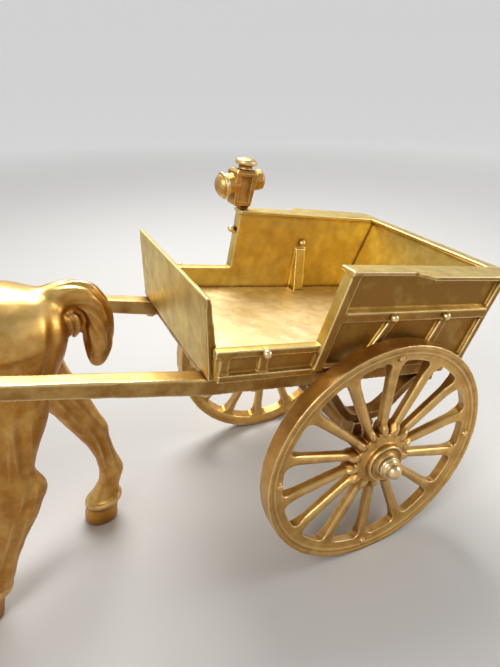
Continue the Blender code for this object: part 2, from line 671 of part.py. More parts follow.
def tyre_profile():
    """The tyre and the beads on its face, as (radius, offset outward from the middle of the wheel)."""
    half, felloe = WHEEL_WIDTH / 2, SPOKE_DEPTH / 2 + 0.4
    beads = [(1.6, half), (2.5, half - 0.8), (3.4, half - 0.1), (4.5, felloe), (5.5, felloe), (5.5, -felloe)]
    outline = [(0, -half), (0, half), *beads, (3.0, -half)]
    return [(WHEEL_RADIUS - depth, offset) for depth, offset in outline]


def hub_profile():
    """The hub and its bore: a flange at the roots of the spokes and a rounded drum in front."""
    bore = JOURNAL_RADIUS + RUNNING
    flange = SPOKE_DEPTH / 2 + 0.9
    round_off = 1.4
    return [
        (bore, -HUB_BACK),
        (HUB_DRUM_RADIUS, -HUB_BACK),
        (HUB_FLANGE_RADIUS, -flange),
        (HUB_FLANGE_RADIUS, flange),
        (HUB_DRUM_RADIUS, flange + round_off),
        (HUB_DRUM_RADIUS, HUB_FRONT - round_off),
        (HUB_DRUM_RADIUS - round_off, HUB_FRONT),
        (bore, HUB_FRONT),
    ]


def make_wheel(prefix, sign, wheel_axis, material):
    """A cast wheel: a disc opened between its spokes, with its tyre, hub and four small bosses."""
    place = outward(0, sign * WHEEL_MID, 0, sign)
    phase = SPOKE_ANGLES[prefix]
    disc = rod(FELLOE_RADIUS + 3, -SPOKE_DEPTH / 2, SPOKE_DEPTH / 2, WHEEL_SIDES, place)
    wheel = piece(f"{prefix}_wheel", disc, wheel_axis, material)
    windows = bmesh.new()
    front, back = FELLOE_RADIUS - WINDOW_DRAFT / 2, FELLOE_RADIUS + WINDOW_DRAFT * 1.5
    for i in range(SPOKE_COUNT):
        middle = phase + 2 * math.pi * (i + 0.5) / SPOKE_COUNT
        rings = []
        for out, felloe in ((SPOKE_DEPTH, front), (-SPOKE_DEPTH, back)):
            outline = window_outline(middle, felloe)
            rings.append([(x, sign * (WHEEL_MID + out), z) for x, z in outline])
        skin(windows, rings)
    bore = rod(JOURNAL_RADIUS + RUNNING + 1, -SPOKE_DEPTH, SPOKE_DEPTH, HUB_SIDES, place)
    cuts = {"windows": windows, "centre": bore}
    cutters = [form(f"{prefix}_wheel_{name}", bm, wheel_axis) for name, bm in cuts.items()]
    combine(wheel, "DIFFERENCE", cutters)
    bosses = bmesh.new()
    for i in range(BOSS_COUNT):
        a = phase - 4 * math.pi / SPOKE_COUNT + 2 * math.pi * i / BOSS_COUNT
        radius = WHEEL_RADIUS - BOSS_DEEP
        at = outward(radius * math.cos(a), sign * WHEEL_MID, radius * math.sin(a), sign)
        depth = WHEEL_WIDTH / 2
        bmesh.ops.create_cone(
            bosses,
            cap_ends=True,
            segments=10,
            radius1=BOSS_RADIUS,
            radius2=BOSS_RADIUS * 0.7,
            depth=depth,
            matrix=at @ Matrix.Translation((0, 0, depth / 2 + 0.2)),
        )
    joined = {
        "tyre": turned(tyre_profile(), WHEEL_SIDES, place),
        "hub": turned(hub_profile(), HUB_SIDES, place),
        "bosses": bosses,
    }
    combine(wheel, "UNION", [form(f"{prefix}_wheel_{name}", bm, wheel_axis) for name, bm in joined.items()])


def make_lamp(cart, far_side, material, bolt_material):
    """The carriage lamp: its body with a barrel through it, the lens in front, a chimney and a stud."""
    foot, top = SIDE_TOP + CLEAR, LAMP_BASE + LAMP_HEIGHT
    low_half, half = LAMP_LOW / 2, LAMP_BODY / 2
    levels = [
        (LAMP_FOOT_X, foot, LAMP_FOOT_WIDE / 2),
        (LAMP_FOOT_X, foot + LAMP_FOOT * 0.6, LAMP_FOOT_WIDE / 2),
        (LAMP_X, LAMP_BASE, low_half - LAMP_EDGE / 2),
        (LAMP_X, LAMP_BASE + LAMP_EDGE / 2, low_half),
        (LAMP_X, top - LAMP_EDGE, half),
        (LAMP_X, top, half - LAMP_EDGE),
    ]
    corners = ((-1, -1), (1, -1), (1, 1), (-1, 1))
    rings = [[(x + a * size, LAMP_Y + b * size, z) for a, b in corners] for x, z, size in levels]
    body = piece("lamp_body", skin(bmesh.new(), rings), cart, material)
    back, radius, front = -LAMP_REAR, LAMP_REAR_RADIUS, LAMP_COLLAR_RADIUS
    profile = [(0, back), (radius * 0.6, back), (radius, back + 1.6), (radius, 0), (front, 0)]
    profile += [(front, LAMP_COLLAR), (0, LAMP_COLLAR)]
    axis = forward(LAMP_X, LAMP_Y, LAMP_BASE + LAMP_GLOW, LAMP_DIP)
    combine(body, "UNION", [form("lamp_barrel", turned(profile, 16, axis), cart)])
    side = low_half - LAMP_PANE_SIDE
    pane_low = (LAMP_X - side, LAMP_Y - half - 2, LAMP_BASE + LAMP_PANE_FOOT)
    pane_high = (LAMP_X + side, LAMP_Y - low_half + LAMP_PANE_DEEP, top - LAMP_PANE_HEAD)
    stud_low, stud_high = SIDE_TOP - LAMP_STUD_DOWN, SIDE_TOP + LAMP_STUD_UP
    upright = upward(LAMP_FOOT_X, LAMP_Y, 0)
    hole = rod(LAMP_STUD + CLEAR, stud_low - CLEAR, stud_high + CLEAR, 12, upright)
    stud_hole = form("lamp_stud_hole", hole, cart)
    combine(body, "DIFFERENCE", [form("lamp_pane", block(pane_low, pane_high), cart), stud_hole])
    combine(far_side, "DIFFERENCE", [stud_hole])
    piece("lamp_stud", rod(LAMP_STUD, stud_low, stud_high, 12, upright), cart, bolt_material, smooth=True)
    wide, start, long = BEZEL_RADIUS, LAMP_COLLAR + CLEAR, BEZEL_LONG
    shape = [(0, 0), (0.85, 0), (1, 0.1), (1, 0.34), (0.87, 0.48), (0.62, 0.8), (0.3, 0.96), (0, 1)]
    profile = [(wide * out, start + long * along) for out, along in shape]
    piece("lamp_bezel", turned(profile, 18, axis), cart, material, smooth=True)
    wide, start, high = CHIMNEY_RADIUS, top + CLEAR, CHIMNEY_HIGH
    shape = [(0, 0), (0.66, 0), (0.6, 0.25), (1, 0.38), (1, 0.7), (0.8, 0.93), (0, 1)]
    profile = [(wide * out, start + high * along) for out, along in shape]
    chimney = turned(profile, 18, upward(LAMP_X + CHIMNEY_BACK, LAMP_Y, 0))
    piece("lamp_chimney", chimney, cart, material, smooth=True)


def sweep(bm, stations, sides=14):
    """A closed rounded form through stations of (x, y, z, half depth in the XZ plane, half width along Y)."""
    side = Vector((0, 1, 0))
    centres = [Vector(station[:3]) for station in stations]
    rings = []
    for i, (*_, deep, wide) in enumerate(stations):
        before, after = centres[max(i - 1, 0)], centres[min(i + 1, len(centres) - 1)]
        up = (after - before).cross(side).normalized()
        angles = [2 * math.pi * (k + 0.5) / sides for k in range(sides)]
        rings.append([centres[i] + side * wide * math.cos(a) + up * deep * math.sin(a) for a in angles])
    return skin(bm, rings)


def add_body(bm):
    """Rump, barrel and chest, then the neck, the head with its ears, and the tail."""
    barrel = (0, BARREL_Z, BARREL_DEEP, BARREL_HALF)
    sweep(
        bm,
        [
            (-114.4, 0, 114, 7, 8),
            (-117.2, 0, 115, 14.5, 14),
            (-122, 0, 116, 19.5, 19),
            (-129, 0, 115.5, 24, 22.5),
            (-138, 0, 114.5, 27, 24.5),
            (-150, 0, 113.5, 28, 25),
            (-165, 0, 111, 28, 25),
            (-182, 0, 109.2, 29, 26),
            (PIN_X + 9, *barrel),
            (PIN_X - 9, *barrel),
            (-228, 0, 110.5, 32, 24),
            (-241, 0, 110, 29, 21),
            (-250, 0, 109, 22, 17),
            (-255, 0, 109, 12, 10),
        ],
        sides=20,
    )
    sweep(
        bm,
        [
            (-220, 0, 112, 27, 17),
            (-232, 0, 127, 25, 15.5),
            (-242, 0, 142, 20.5, 12.5),
            (-250, 0, 157, 16.5, 10),
            (-256, 0, 170, 13.5, 8.5),
            (-260, 0, 180, 10.5, 7.5),
            (-262, 0, 186, 6, 5),
        ],
    )
    sweep(
        bm,
        [
            (-255, 0, 186, 6, 5),
            (-260, 0, 181.5, 10, 7.8),
            (-267, 0, 174, 11.5, 8.6),
            (-274.5, 0, 166, 10, 7.6),
            (-281, 0, 158.5, 7.8, 6.2),
            (-287, 0, 151.5, 6.6, 5.6),
            (-291.5, 0, 146.5, 6.2, 5.6),
            (-294, 0, 143.5, 4, 4),
        ],
    )
    for y in (-5.2, 5.2):
        sweep(bm, [(-256, y, 186, 3, 2.4), (-256.5, y, 192, 2.8, 2.2), (-258, y, 198, 1.2, 1.1)], sides=8)
    sweep(
        bm,
        [
            (-124, 0, 129, 5, 4.6),
            (-117, 0, 130.8, 6.2, 5.4),
            (-110.5, 0, 131.4, 6.6, 5.6),
            (-105, 0, 129.2, 7.0, 5.8),
            (-102.2, 0, 124, 7.2, 5.9),
            (-101.8, 0, 117.5, 7.2, 5.9),
            (-102.4, 0, 109.5, 6.6, 5.5),
            (-103.8, 0, 102.5, 5.2, 4.5),
            (-104.6, 0, 97.4, 2.6, 2.4),
        ],
        sides=12,
    )


def add_mane_and_harness(bm):
    """The crest of the mane, the girth band round the barrel, and the collar round the root of the neck."""
    sweep(
        bm,
        [
            (-221, 0, 143, 3.5, 2.4),
            (-228, 0, 152, 4.5, 2.8),
            (-236, 0, 166, 4.5, 3),
            (-244, 0, 179, 4.5, 3),
            (-251, 0, 189, 4, 2.8),
            (-258, 0, 192.5, 3, 2.4),
        ],
        sides=10,
    )
    band = (0, BARREL_Z, BARREL_DEEP + GIRTH_PROUD, BARREL_HALF + GIRTH_PROUD)
    sweep(bm, [(PIN_X + GIRTH_LONG / 2, *band), (PIN_X - GIRTH_LONG / 2, *band)], sides=28)
    along = Vector((-0.5, 0, 0.866)) * COLLAR_LONG
    centre = Vector((COLLAR_X, 0, COLLAR_Z))
    sections = ((-0.5, 2.5), (-0.25, 0.6), (0, 0), (0.25, 0.6), (0.5, 2.5))
    sweep(
        bm,
        [(*(centre + along * share), COLLAR_DEEP - inset, COLLAR_HALF - inset) for share, inset in sections],
        sides=24,
    )


def add_legs(bm):
    """The four legs, each drawn on below the ground. The near ones step forward, the far hind one back."""
    near, far = -HIND_TRACK, HIND_TRACK
    sweep(
        bm,
        [
            (-133, near * 0.55, 118, 17, 10),
            (-139, near * 0.75, 104, 17, 10.5),
            (-138.5, near * 0.9, 92, 12.5, 9.2),
            (-141.5, near, 81, 9.6, 8),
            (-144.8, near, 71, 9.4, 7.2),
            (-143.2, near, 61, 10.6, 7.0),
            (-144.8, near, 52, 8.8, 6.4),
            (-150, near, 41, 7.0, 5.8),
            (-155, near, 30, 6.4, 5.6),
            (-159, near, 20.5, 7.2, 6.6),
            (-163.4, near, 14.5, 6.6, 6.6),
            (-166.6, near, 9, 8.0, 7.4),
            (-168.6, near, 3, 8.8, 8.2),
            (-169.2, near, -SOLE_DEPTH, 9.0, 8.4),
        ],
    )
    sweep(
        bm,
        [
            (-132, far * 0.55, 116, 15, 10),
            (-131, far * 0.8, 100, 14, 10),
            (-124.5, far * 0.95, 86, 11, 9),
            (-117.5, far, 73, 9, 7.8),
            (-111.5, far, 58.5, 7.8, 6.6),
            (-108, far, 48, 6, 5.6),
            (-105.8, far, 38, 5.3, 5.2),
            (-103.8, far, 29.5, 6.6, 6.2),
            (-106.4, far, 21, 5.4, 5.4),
            (-109, far, 14, 7.2, 7),
            (-111.4, far, 8, 8, 7.4),
            (-112.8, far, 3, 8.6, 8),
            (-113.2, far, -SOLE_DEPTH, 8.8, 8.2),
        ],
    )
    near, far = -FORE_TRACK, FORE_TRACK
    sweep(
        bm,
        [
            (-236, near * 0.7, 112, 14, 9),
            (-233, near * 0.95, 96, 12, 9.5),
            (-231.5, near, 82, 9.4, 7.8),
            (-231, near, 68, 7.2, 6.6),
            (-231.5, near, 57, 6.8, 6.6),
            (-230.6, near, 48, 5.6, 5.4),
            (-229.4, near, 36, 4.9, 4.8),
            (-229.4, near, 27, 6.0, 5.8),
            (-231.6, near, 20, 5.3, 5.2),
            (-234, near, 13.5, 7.2, 6.8),
            (-236, near, 7, 8.2, 7.6),
            (-237.2, near, 2, 8.9, 8.2),
            (-237.4, near, -SOLE_DEPTH, 9, 8.4),
        ],
    )
    sweep(
        bm,
        [
            (-238, far * 0.7, 112, 14, 9),
            (-239.5, far * 0.95, 96, 12, 9.5),
            (-243, far, 82, 9.4, 7.8),
            (-247.5, far, 68, 7.2, 6.6),
            (-250.5, far, 57, 6.8, 6.6),
            (-251.6, far, 48, 5.6, 5.4),
            (-253.4, far, 36, 4.9, 4.8),
            (-255, far, 27, 6.0, 5.8),
            (-258.6, far, 20, 5.3, 5.2),
            (-261.6, far, 13.5, 7.2, 6.8),
            (-263.8, far, 7, 8.2, 7.6),
            (-265, far, 2, 8.9, 8.2),
            (-265.2, far, -SOLE_DEPTH, 9, 8.4),
        ],
    )


def make_horse(pivot, material, pin_material):
    """The horse, one casting with its harness and the lugs for the shafts, and the two pins."""
    bm = bmesh.new()
    add_body(bm)
    add_mane_and_harness(bm)
    add_legs(bm)
    horse = piece("horse", bm, pivot, material, smooth=True)
    fuse = horse.modifiers.new("fuse", "REMESH")
    fuse.mode = "VOXEL"
    fuse.voxel_size = VOXEL * MM
    fuse.use_smooth_shade = True
    even = horse.modifiers.new("even", "SMOOTH")
    even.iterations = 5
    thin = horse.modifiers.new("thin", "DECIMATE")
    thin.ratio = HORSE_KEEP
    ground = form("horse_ground", block((-400, -60, -30), (0, 60, 0)), pivot)
    combine(horse, "DIFFERENCE", [ground])
    made = [horse, ground]
    for prefix, sign in SIDES:
        place = outward(PIN_X, 0, PIN_Z, sign)
        lug = form(f"{prefix}_lug", rod(LUG_RADIUS, BARREL_HALF / 2, LUG_FACE, 18, place), pivot)
        combine(horse, "UNION", [lug])
        inner = LUG_FACE - PIN_SEAT
        bore = form(f"{prefix}_lug_bore", rod(PIN_RADIUS + CLEAR, inner - CLEAR, EYE_OUT, 14, place), pivot)
        combine(horse, "DIFFERENCE", [bore])
        head = EYE_OUT + RUNNING
        profile = [(0, inner), (PIN_RADIUS, inner), (PIN_RADIUS, head), (PIN_HEAD, head)]
        profile += [(PIN_HEAD, head + 1), (PIN_HEAD * 0.7, head + 2.2), (0, head + 2.7)]
        pin = piece(f"{prefix}_shaft_pin", turned(profile, 16, place), pivot, pin_material, smooth=True)
        made += [lug, bore, pin]
    for one in made:
        one.location = -pivot.location


def stand_over_origin(stand):
    """Slides the whole object along X until the origin lies under the middle of its length."""
    bpy.context.view_layer.update()
    graph = bpy.context.evaluated_depsgraph_get()
    ends = []
    for made in bpy.context.scene.objects:
        if made.type == "MESH" and not made.hide_render:
            evaluated = made.evaluated_get(graph)
            ends += [(evaluated.matrix_world @ vertex.co).x for vertex in evaluated.data.vertices]
    stand.location.x -= (min(ends) + max(ends)) / 2


def main():
    clear_scene()
    cast_brass = brass("cast_brass", (0.78, 0.56, 0.22), 0.34)
    dull_brass = brass("dull_brass", (0.55, 0.37, 0.14), 0.45)
    turned_brass = brass("turned_brass", (0.83, 0.62, 0.28), 0.25)
    stand = empty("stand")
    cart = empty("cart", stand, (0, 0, WHEEL_RADIUS), (0, TILT, 0))
    floor = make_floor(cart, cast_brass)
    dash = make_dashboard(cart, cast_brass)
    make_tailboard(cart, cast_brass)
    make_axle(cart, dull_brass)
    for prefix, sign in SIDES:
        side = make_side(prefix, sign, cart, cast_brass, turned_brass)
        shaft = make_shaft(prefix, sign, cart, cast_brass)
        bolt_bed(prefix, sign, cart, shaft, floor, dash, turned_brass)
        make_spring(prefix, sign, cart, shaft, dull_brass, turned_brass)
        make_hub_cap(prefix, sign, cart, turned_brass)
        wheel_axis = empty(f"{prefix}_wheel_axis", stand, (0, 0, WHEEL_RADIUS))
        make_wheel(prefix, sign, wheel_axis, cast_brass)
    make_lamp(cart, side, cast_brass, turned_brass)
    pivot = empty("horse_pivot", stand, (PIN_X, 0, PIN_Z))
    make_horse(pivot, cast_brass, turned_brass)
    stand_over_origin(stand)


main()
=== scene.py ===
"""A cast brass horse between the shafts of a two-wheeled carriage, as it stands on a pale table.

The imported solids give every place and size. Each casting is poured again here in a finer mesh, its edges
rubbed round and its surface worked as the real one is, and each turned piece is turned again with its full
profile. Lengths in this script are in millimetres and are turned into metres where a mesh is made.
"""

import math

import bmesh
import bpy
import numpy as np
from mathutils import Matrix, Vector, noise
from mathutils.bvhtree import BVHTree


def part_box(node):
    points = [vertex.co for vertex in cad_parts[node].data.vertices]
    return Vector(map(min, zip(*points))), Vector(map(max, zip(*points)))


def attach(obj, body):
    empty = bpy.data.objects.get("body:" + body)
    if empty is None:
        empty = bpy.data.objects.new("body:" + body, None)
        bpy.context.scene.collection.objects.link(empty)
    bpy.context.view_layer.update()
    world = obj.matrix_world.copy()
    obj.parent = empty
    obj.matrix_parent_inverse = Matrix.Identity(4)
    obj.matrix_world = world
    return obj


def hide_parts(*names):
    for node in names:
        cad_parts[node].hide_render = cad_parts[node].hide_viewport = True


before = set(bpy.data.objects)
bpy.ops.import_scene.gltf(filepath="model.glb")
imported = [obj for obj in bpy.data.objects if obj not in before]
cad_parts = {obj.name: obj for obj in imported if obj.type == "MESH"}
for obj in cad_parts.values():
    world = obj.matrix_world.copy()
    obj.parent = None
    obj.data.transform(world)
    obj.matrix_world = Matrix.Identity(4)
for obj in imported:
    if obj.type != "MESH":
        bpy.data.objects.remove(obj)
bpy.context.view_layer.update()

# The photograph
# It was taken by hand from in front of the near wheel, looking down into the tray, and its left edge cuts the
# horse off at the flank. Places are measured from the point on the ground under the middle of the axle.
MM = 0.001
AXLE_X = sum(corner.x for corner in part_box("axle")) / 2 / MM
EYE = (-124.81, -192.29, 210.12)
HEADING = -24.91
LOOKING_DOWN = 28.06
HAND_TILT = -0.32
FOCAL_LENGTH = 37.63
SENSOR_WIDE = 36.0
NEAREST_SEEN = 5.0


def beside_axle(x, y, z):
    """A point given from the ground under the axle, in the frame's metres."""
    return Vector((AXLE_X + x, y, z)) * MM


lens = bpy.data.cameras.new("photo_camera")
lens.sensor_fit = "HORIZONTAL"
lens.sensor_width = SENSOR_WIDE
lens.lens = FOCAL_LENGTH
lens.clip_start = NEAREST_SEEN * MM
camera = bpy.data.objects.new("photo_camera", lens)
bpy.context.scene.collection.objects.link(camera)
turned_to = Matrix.Rotation(math.radians(HEADING), 4, "Z")
dipped = Matrix.Rotation(math.radians(90 - LOOKING_DOWN), 4, "X")
tilted = Matrix.Rotation(math.radians(HAND_TILT), 4, "Z")
camera.matrix_world = Matrix.Translation(beside_axle(*EYE)) @ turned_to @ dipped @ tilted
bpy.context.scene.camera = camera
bpy.context.scene.view_settings.view_transform = "Standard"

# The table and the room
# A pale matt table top that runs up into a pale wall all round, under one broad soft light from above and
# behind the carriage, as in the photograph, with weaker ones from the front and a dim room. The wall's glow
# shows only to the camera and in the brass, so it lights nothing. Its fade is in metres from the middle.
TABLE_RADIUS = 3000.0
TABLE_RIM = [(0, 0), (0.3, 0), (0.55, 0), (0.72, 0.02), (0.86, 0.1), (0.95, 0.24), (1, 0.45), (1, 0.9)]
TABLE_SIDES = 64
TABLE_GREY = 0.65
TABLE_ROUGHNESS = 0.75
WALL_GLOW = 0.46
WALL_FADE = (0.3, 1.3)
ROOM_GREY = 0.8
ROOM_LIGHT = 0.44


def plain_nodes(owner):
    """The node tree of a material or a world, emptied."""
    owner.use_nodes = True
    owner.node_tree.nodes.clear()
    return owner.node_tree


def add_node(tree, kind, settings=None, **inputs):
    """Adds a node, sets its options, then links or sets its inputs by name, with _ for a space."""
    node = tree.nodes.new(kind)
    for option, value in (settings or {}).items():
        setattr(node, option, value)
    for name, value in inputs.items():
        socket = node.inputs[name.replace("_", " ")]
        if isinstance(value, bpy.types.NodeSocket):
            tree.links.new(value, socket)
        else:
            socket.default_value = value
    return node


def maths(tree, operation, *values):
    """The result of a Math node on these sockets and numbers, kept from 0 to 1 where it adds."""
    node = tree.nodes.new("ShaderNodeMath")
    node.operation = operation
    node.use_clamp = operation in ("ADD", "SUBTRACT")
    for socket, value in zip(node.inputs, values):
        if isinstance(value, bpy.types.NodeSocket):
            tree.links.new(value, socket)
        else:
            socket.default_value = value
    return node.outputs[0]


def new_piece(name, bm):
    """A new object with this shape, drawn in millimetres."""
    bmesh.ops.scale(bm, verts=bm.verts, vec=(MM, MM, MM))
    mesh = bpy.data.meshes.new(name)
    bm.to_mesh(mesh)
    for face in mesh.polygons:
        face.use_smooth = True
    piece = bpy.data.objects.new(name, mesh)
    bpy.context.scene.collection.objects.link(piece)
    return piece


def turn(profile, place, sides):
    """Turns a profile of (radius, height) about Z, then puts it in its place. Radius 0 closes an end."""
    bm = bmesh.new()
    rings = []
    for radius, height in profile:
        count = sides if radius > 0 else 1
        angles = [2 * math.pi * i / count for i in range(count)]
        points = [place @ Vector((radius * math.cos(a), radius * math.sin(a), height)) for a in angles]
        rings.append([bm.verts.new(point) for point in points])
    for low, high in zip(rings, rings[1:]):
        for i in range(sides):
            j = (i + 1) % sides
            corners = [low[i % len(low)], low[j % len(low)], high[j % len(high)], high[i % len(high)]]
            bm.faces.new(list(dict.fromkeys(corners)))
    return bm


rim = [(out * TABLE_RADIUS, high * TABLE_RADIUS) for out, high in TABLE_RIM]
table = new_piece("table_top", turn(rim, Matrix.Identity(4), TABLE_SIDES))
table_paint = bpy.data.materials.new("table_paint")
tree = plain_nodes(table_paint)
spot = add_node(tree, "ShaderNodeTexCoord").outputs["Object"]
away = add_node(tree, "ShaderNodeVectorMath", {"operation": "LENGTH"}, Vector=spot).outputs["Value"]
fade = {"From_Min": WALL_FADE[0], "From_Max": WALL_FADE[1], "To_Max": WALL_GLOW}
glow = add_node(tree, "ShaderNodeMapRange", Value=away, **fade)
rays = add_node(tree, "ShaderNodeLightPath").outputs
seen = maths(tree, "ADD", rays["Is Camera Ray"], rays["Is Glossy Ray"])
seen = maths(tree, "MULTIPLY", maths(tree, "ADD", seen, rays["Is Transmission Ray"]), glow.outputs[0])
white, grey = (1, 1, 1, 1), (TABLE_GREY, TABLE_GREY, TABLE_GREY, 1)
inputs = {"Base_Color": grey, "Emission_Color": white, "Emission_Strength": seen}
paint = add_node(tree, "ShaderNodeBsdfPrincipled", Roughness=TABLE_ROUGHNESS, **inputs)
add_node(tree, "ShaderNodeOutputMaterial", Surface=paint.outputs[0])
table.data.materials.append(table_paint)

room = bpy.data.worlds.new("room")
bpy.context.scene.world = room
tree = plain_nodes(room)
room_grey = (ROOM_GREY, ROOM_GREY, ROOM_GREY, 1)
air = add_node(tree, "ShaderNodeBackground", Color=room_grey, Strength=ROOM_LIGHT)
add_node(tree, "ShaderNodeOutputWorld", Surface=air.outputs[0])

# Each light: its place, what it looks at, how wide it is, its power in watts and its tint
LIGHTS = {
    "window_above": ((60, 330, 620), (0, 0, 60), 420, 4.6, (1.0, 0.97, 0.92)),
    "lamp_in_front": ((-440, -270, 480), (-80, 0, 80), 260, 1.7, (1.0, 0.96, 0.9)),
    "light_from_the_tail": ((480, -180, 300), (40, 0, 60), 260, 0.8, (1.0, 0.97, 0.93)),
}
for name, (place, target, width, power, tint) in LIGHTS.items():
    light = bpy.data.lights.new(name, "AREA")
    light.shape = "DISK"
    light.size = width * MM
    light.energy = power
    light.color = tint
    holder = bpy.data.objects.new(name, light)
    holder.location = beside_axle(*place)
    looks = beside_axle(*target) - holder.location
    holder.rotation_euler = looks.to_track_quat("-Z", "Y").to_euler()
    bpy.context.scene.collection.objects.link(holder)

# The tray
# Two cast sides with ribs, ledges and rails outside, a floor, a dashboard that leans forward and a tailboard
# that leans back, all of yellow brass: grained by the sand it was poured in, pale inside, browner in corners
# and bare along edges. Painted shade makes the outside browner than the inside, and painted light makes the
# floor paler.
TRAY_GOLD = (0.83, 0.65, 0.20)
TRAY_BROWN = (0.32, 0.16, 0.035)
TRAY_BARE = (1.0, 0.85, 0.50)
TRAY_GLOSS = (0.38, 0.52, 0.28)
# Painted shade: a little on faces that don't look up and much on faces turned outward.
TRAY_AGE_AND_SHADE = (2.2, 0.4, 0.05, 0.8)
TRAY_SAND = (0.5, 0.06, 0.35)
TRAY_UNEVEN = (7.0, 0.12)
TRAY_GRIDS = {"near_side": 0.42, "far_side": 0.42, "tray_floor": 0.6, "dashboard": 0.45, "tailboard": 0.5}
# The floor's paler gold is painted light, for the light that falls on it from above.
FLOOR_LIT_GOLD = (1.0, 0.85, 0.54)
FLOOR_GLOSS = (0.44, 0.55, 0.32)
FLOOR_AGE = (1.6, 0.3, 0.0, 0.0)
FLOOR_SAND = (0.6, 0.12, 0.6)
SOLDERED = {"tray_floor": 0.35, "tailboard": 0.35}
FINE_SAND = (0.5, 0.05, 0.3)
GRAIN_SHARE = 0.7
PITS_A_METRE = 520.0
PIT_SPREAD = 0.28
MOTTLES_A_METRE = 140.0
MOTTLE_DEEPENS = (0.86, 0.78, 0.6)
PATCHES_A_METRE = 95.0
RUBBING = 3


def shader_group(name, inputs, outputs):
    """A new shader node group with (name, value) inputs and named outputs, and its two end nodes."""
    group = bpy.data.node_groups.new(name, "ShaderNodeTree")
    for socket, value in inputs:
        made = group.interface.new_socket(socket, in_out="INPUT", socket_type="NodeSocketFloat")
        made.default_value = value
    for socket in outputs:
        group.interface.new_socket(socket, in_out="OUTPUT", socket_type="NodeSocketFloat")
    return group, group.nodes.new("NodeGroupInput").outputs, group.nodes.new("NodeGroupOutput").inputs


def sand_grain():
    """Sand-cast skin: fine grain and scattered pits as a height, and a mask of paler and darker patches."""
    inputs = [("Grain Size", 0.5), ("Pits", 0.3)]
    group, given, made = shader_group("sand_grain", inputs, ["Height", "Mottle"])
    place = add_node(group, "ShaderNodeTexCoord").outputs["Object"]
    pitch = maths(group, "DIVIDE", 1 / MM, given["Grain Size"])
    grain = add_node(group, "ShaderNodeTexNoise", Vector=place, Scale=pitch, Detail=4.0, Roughness=0.6)
    cells = add_node(group, "ShaderNodeTexVoronoi", Vector=place, Scale=PITS_A_METRE)
    pits = add_node(group, "ShaderNodeMapRange", Value=cells.outputs["Distance"], From_Max=PIT_SPREAD)
    sunk = maths(group, "MULTIPLY", pits.outputs[0], given["Pits"])
    height = maths(group, "MULTIPLY_ADD", grain.outputs["Fac"], GRAIN_SHARE, sunk)
    group.links.new(height, made["Height"])
    noise_inputs = {"Scale": MOTTLES_A_METRE, "Detail": 5.0, "Distortion": 0.8}
    patches = add_node(group, "ShaderNodeTexNoise", Vector=place, **noise_inputs)
    mottle = add_node(group, "ShaderNodeMapRange", Value=patches.outputs["Fac"], From_Min=0.36, From_Max=0.68)
    group.links.new(mottle.outputs[0], made["Mottle"])
    return group


def hands_and_shade():
    """How a surface has weathered and where it is painted as in shade, as two masks: brown where hands and
    cloths miss it and where shade is painted, bare where they rub most.

    They miss corners, to the shelter's size, and scattered patches. Painted shade browns faces that don't
    look up, by the third input, and faces that look away from the middle of the object, by the fourth.
    """
    inputs = [("Shelter Size", 5.0), ("Patchiness", 0.5), ("SideShade", 0.0), ("OutsideShade", 0.0)]
    group, given, made = shader_group("hands_and_shade", inputs, ["Tarnish", "Wear"])
    reach = maths(group, "MULTIPLY", given["Shelter Size"], MM)
    corner = add_node(group, "ShaderNodeAmbientOcclusion", {"samples": 8}, Distance=reach)
    open_air = add_node(group, "ShaderNodeMapRange", Value=corner.outputs["AO"], From_Min=0.35, From_Max=0.95)
    coordinates = add_node(group, "ShaderNodeTexCoord").outputs
    place = coordinates["Object"]
    noise_inputs = {"Scale": PATCHES_A_METRE, "Detail": 6.0, "Roughness": 0.65}
    cloud = add_node(group, "ShaderNodeTexNoise", Vector=place, **noise_inputs)
    patches = add_node(group, "ShaderNodeMapRange", Value=cloud.outputs["Fac"], From_Min=0.4, From_Max=0.7)
    patch = maths(group, "MULTIPLY", patches.outputs[0], given["Patchiness"])
    shut = maths(group, "SUBTRACT", 1.0, open_air.outputs[0])
    facing = add_node(group, "ShaderNodeSeparateXYZ", Vector=coordinates["Normal"]).outputs
    level = add_node(group, "ShaderNodeMapRange", Value=facing["Z"], From_Max=0.9, To_Min=1.0, To_Max=0.0)
    beside = add_node(group, "ShaderNodeSeparateXYZ", Vector=place).outputs["Y"]
    side = add_node(group, "ShaderNodeMapRange", Value=beside, From_Min=-MM, From_Max=MM, To_Min=-1.0)
    turned_out = maths(group, "MULTIPLY", facing["Y"], side.outputs[0])
    outer = add_node(group, "ShaderNodeMapRange", Value=turned_out)
    # Painted shade: faces that don't look up and faces turned out from the middle are browned like tarnish.
    missed_and_shaded = maths(group, "MULTIPLY_ADD", level.outputs[0], given["SideShade"], shut)
    missed_and_shaded = maths(group, "MULTIPLY_ADD", outer.outputs[0], given["OutsideShade"], missed_and_shaded)
    group.links.new(maths(group, "ADD", missed_and_shaded, patch), made["Tarnish"])
    curve = add_node(group, "ShaderNodeAttribute", {"attribute_name": "standing_out"}).outputs["Fac"]
    edge = add_node(group, "ShaderNodeMapRange", Value=curve, From_Min=0.51, From_Max=0.57)
    group.links.new(edge.outputs[0], made["Wear"])
    return group


SAND_GRAIN = sand_grain()
HANDS_AND_SHADE = hands_and_shade()


def blend_colours(tree, share, first, second):
    """Goes from the first colour to the second as share goes from 0 to 1."""
    node = tree.nodes.new("ShaderNodeMix")
    node.data_type = "RGBA"
    tree.links.new(share, node.inputs["Factor"])
    for socket, value in ((node.inputs[6], first), (node.inputs[7], second)):
        if isinstance(value, bpy.types.NodeSocket):
            tree.links.new(value, socket)
        else:
            socket.default_value = (*value, 1)
    return node.outputs[2]


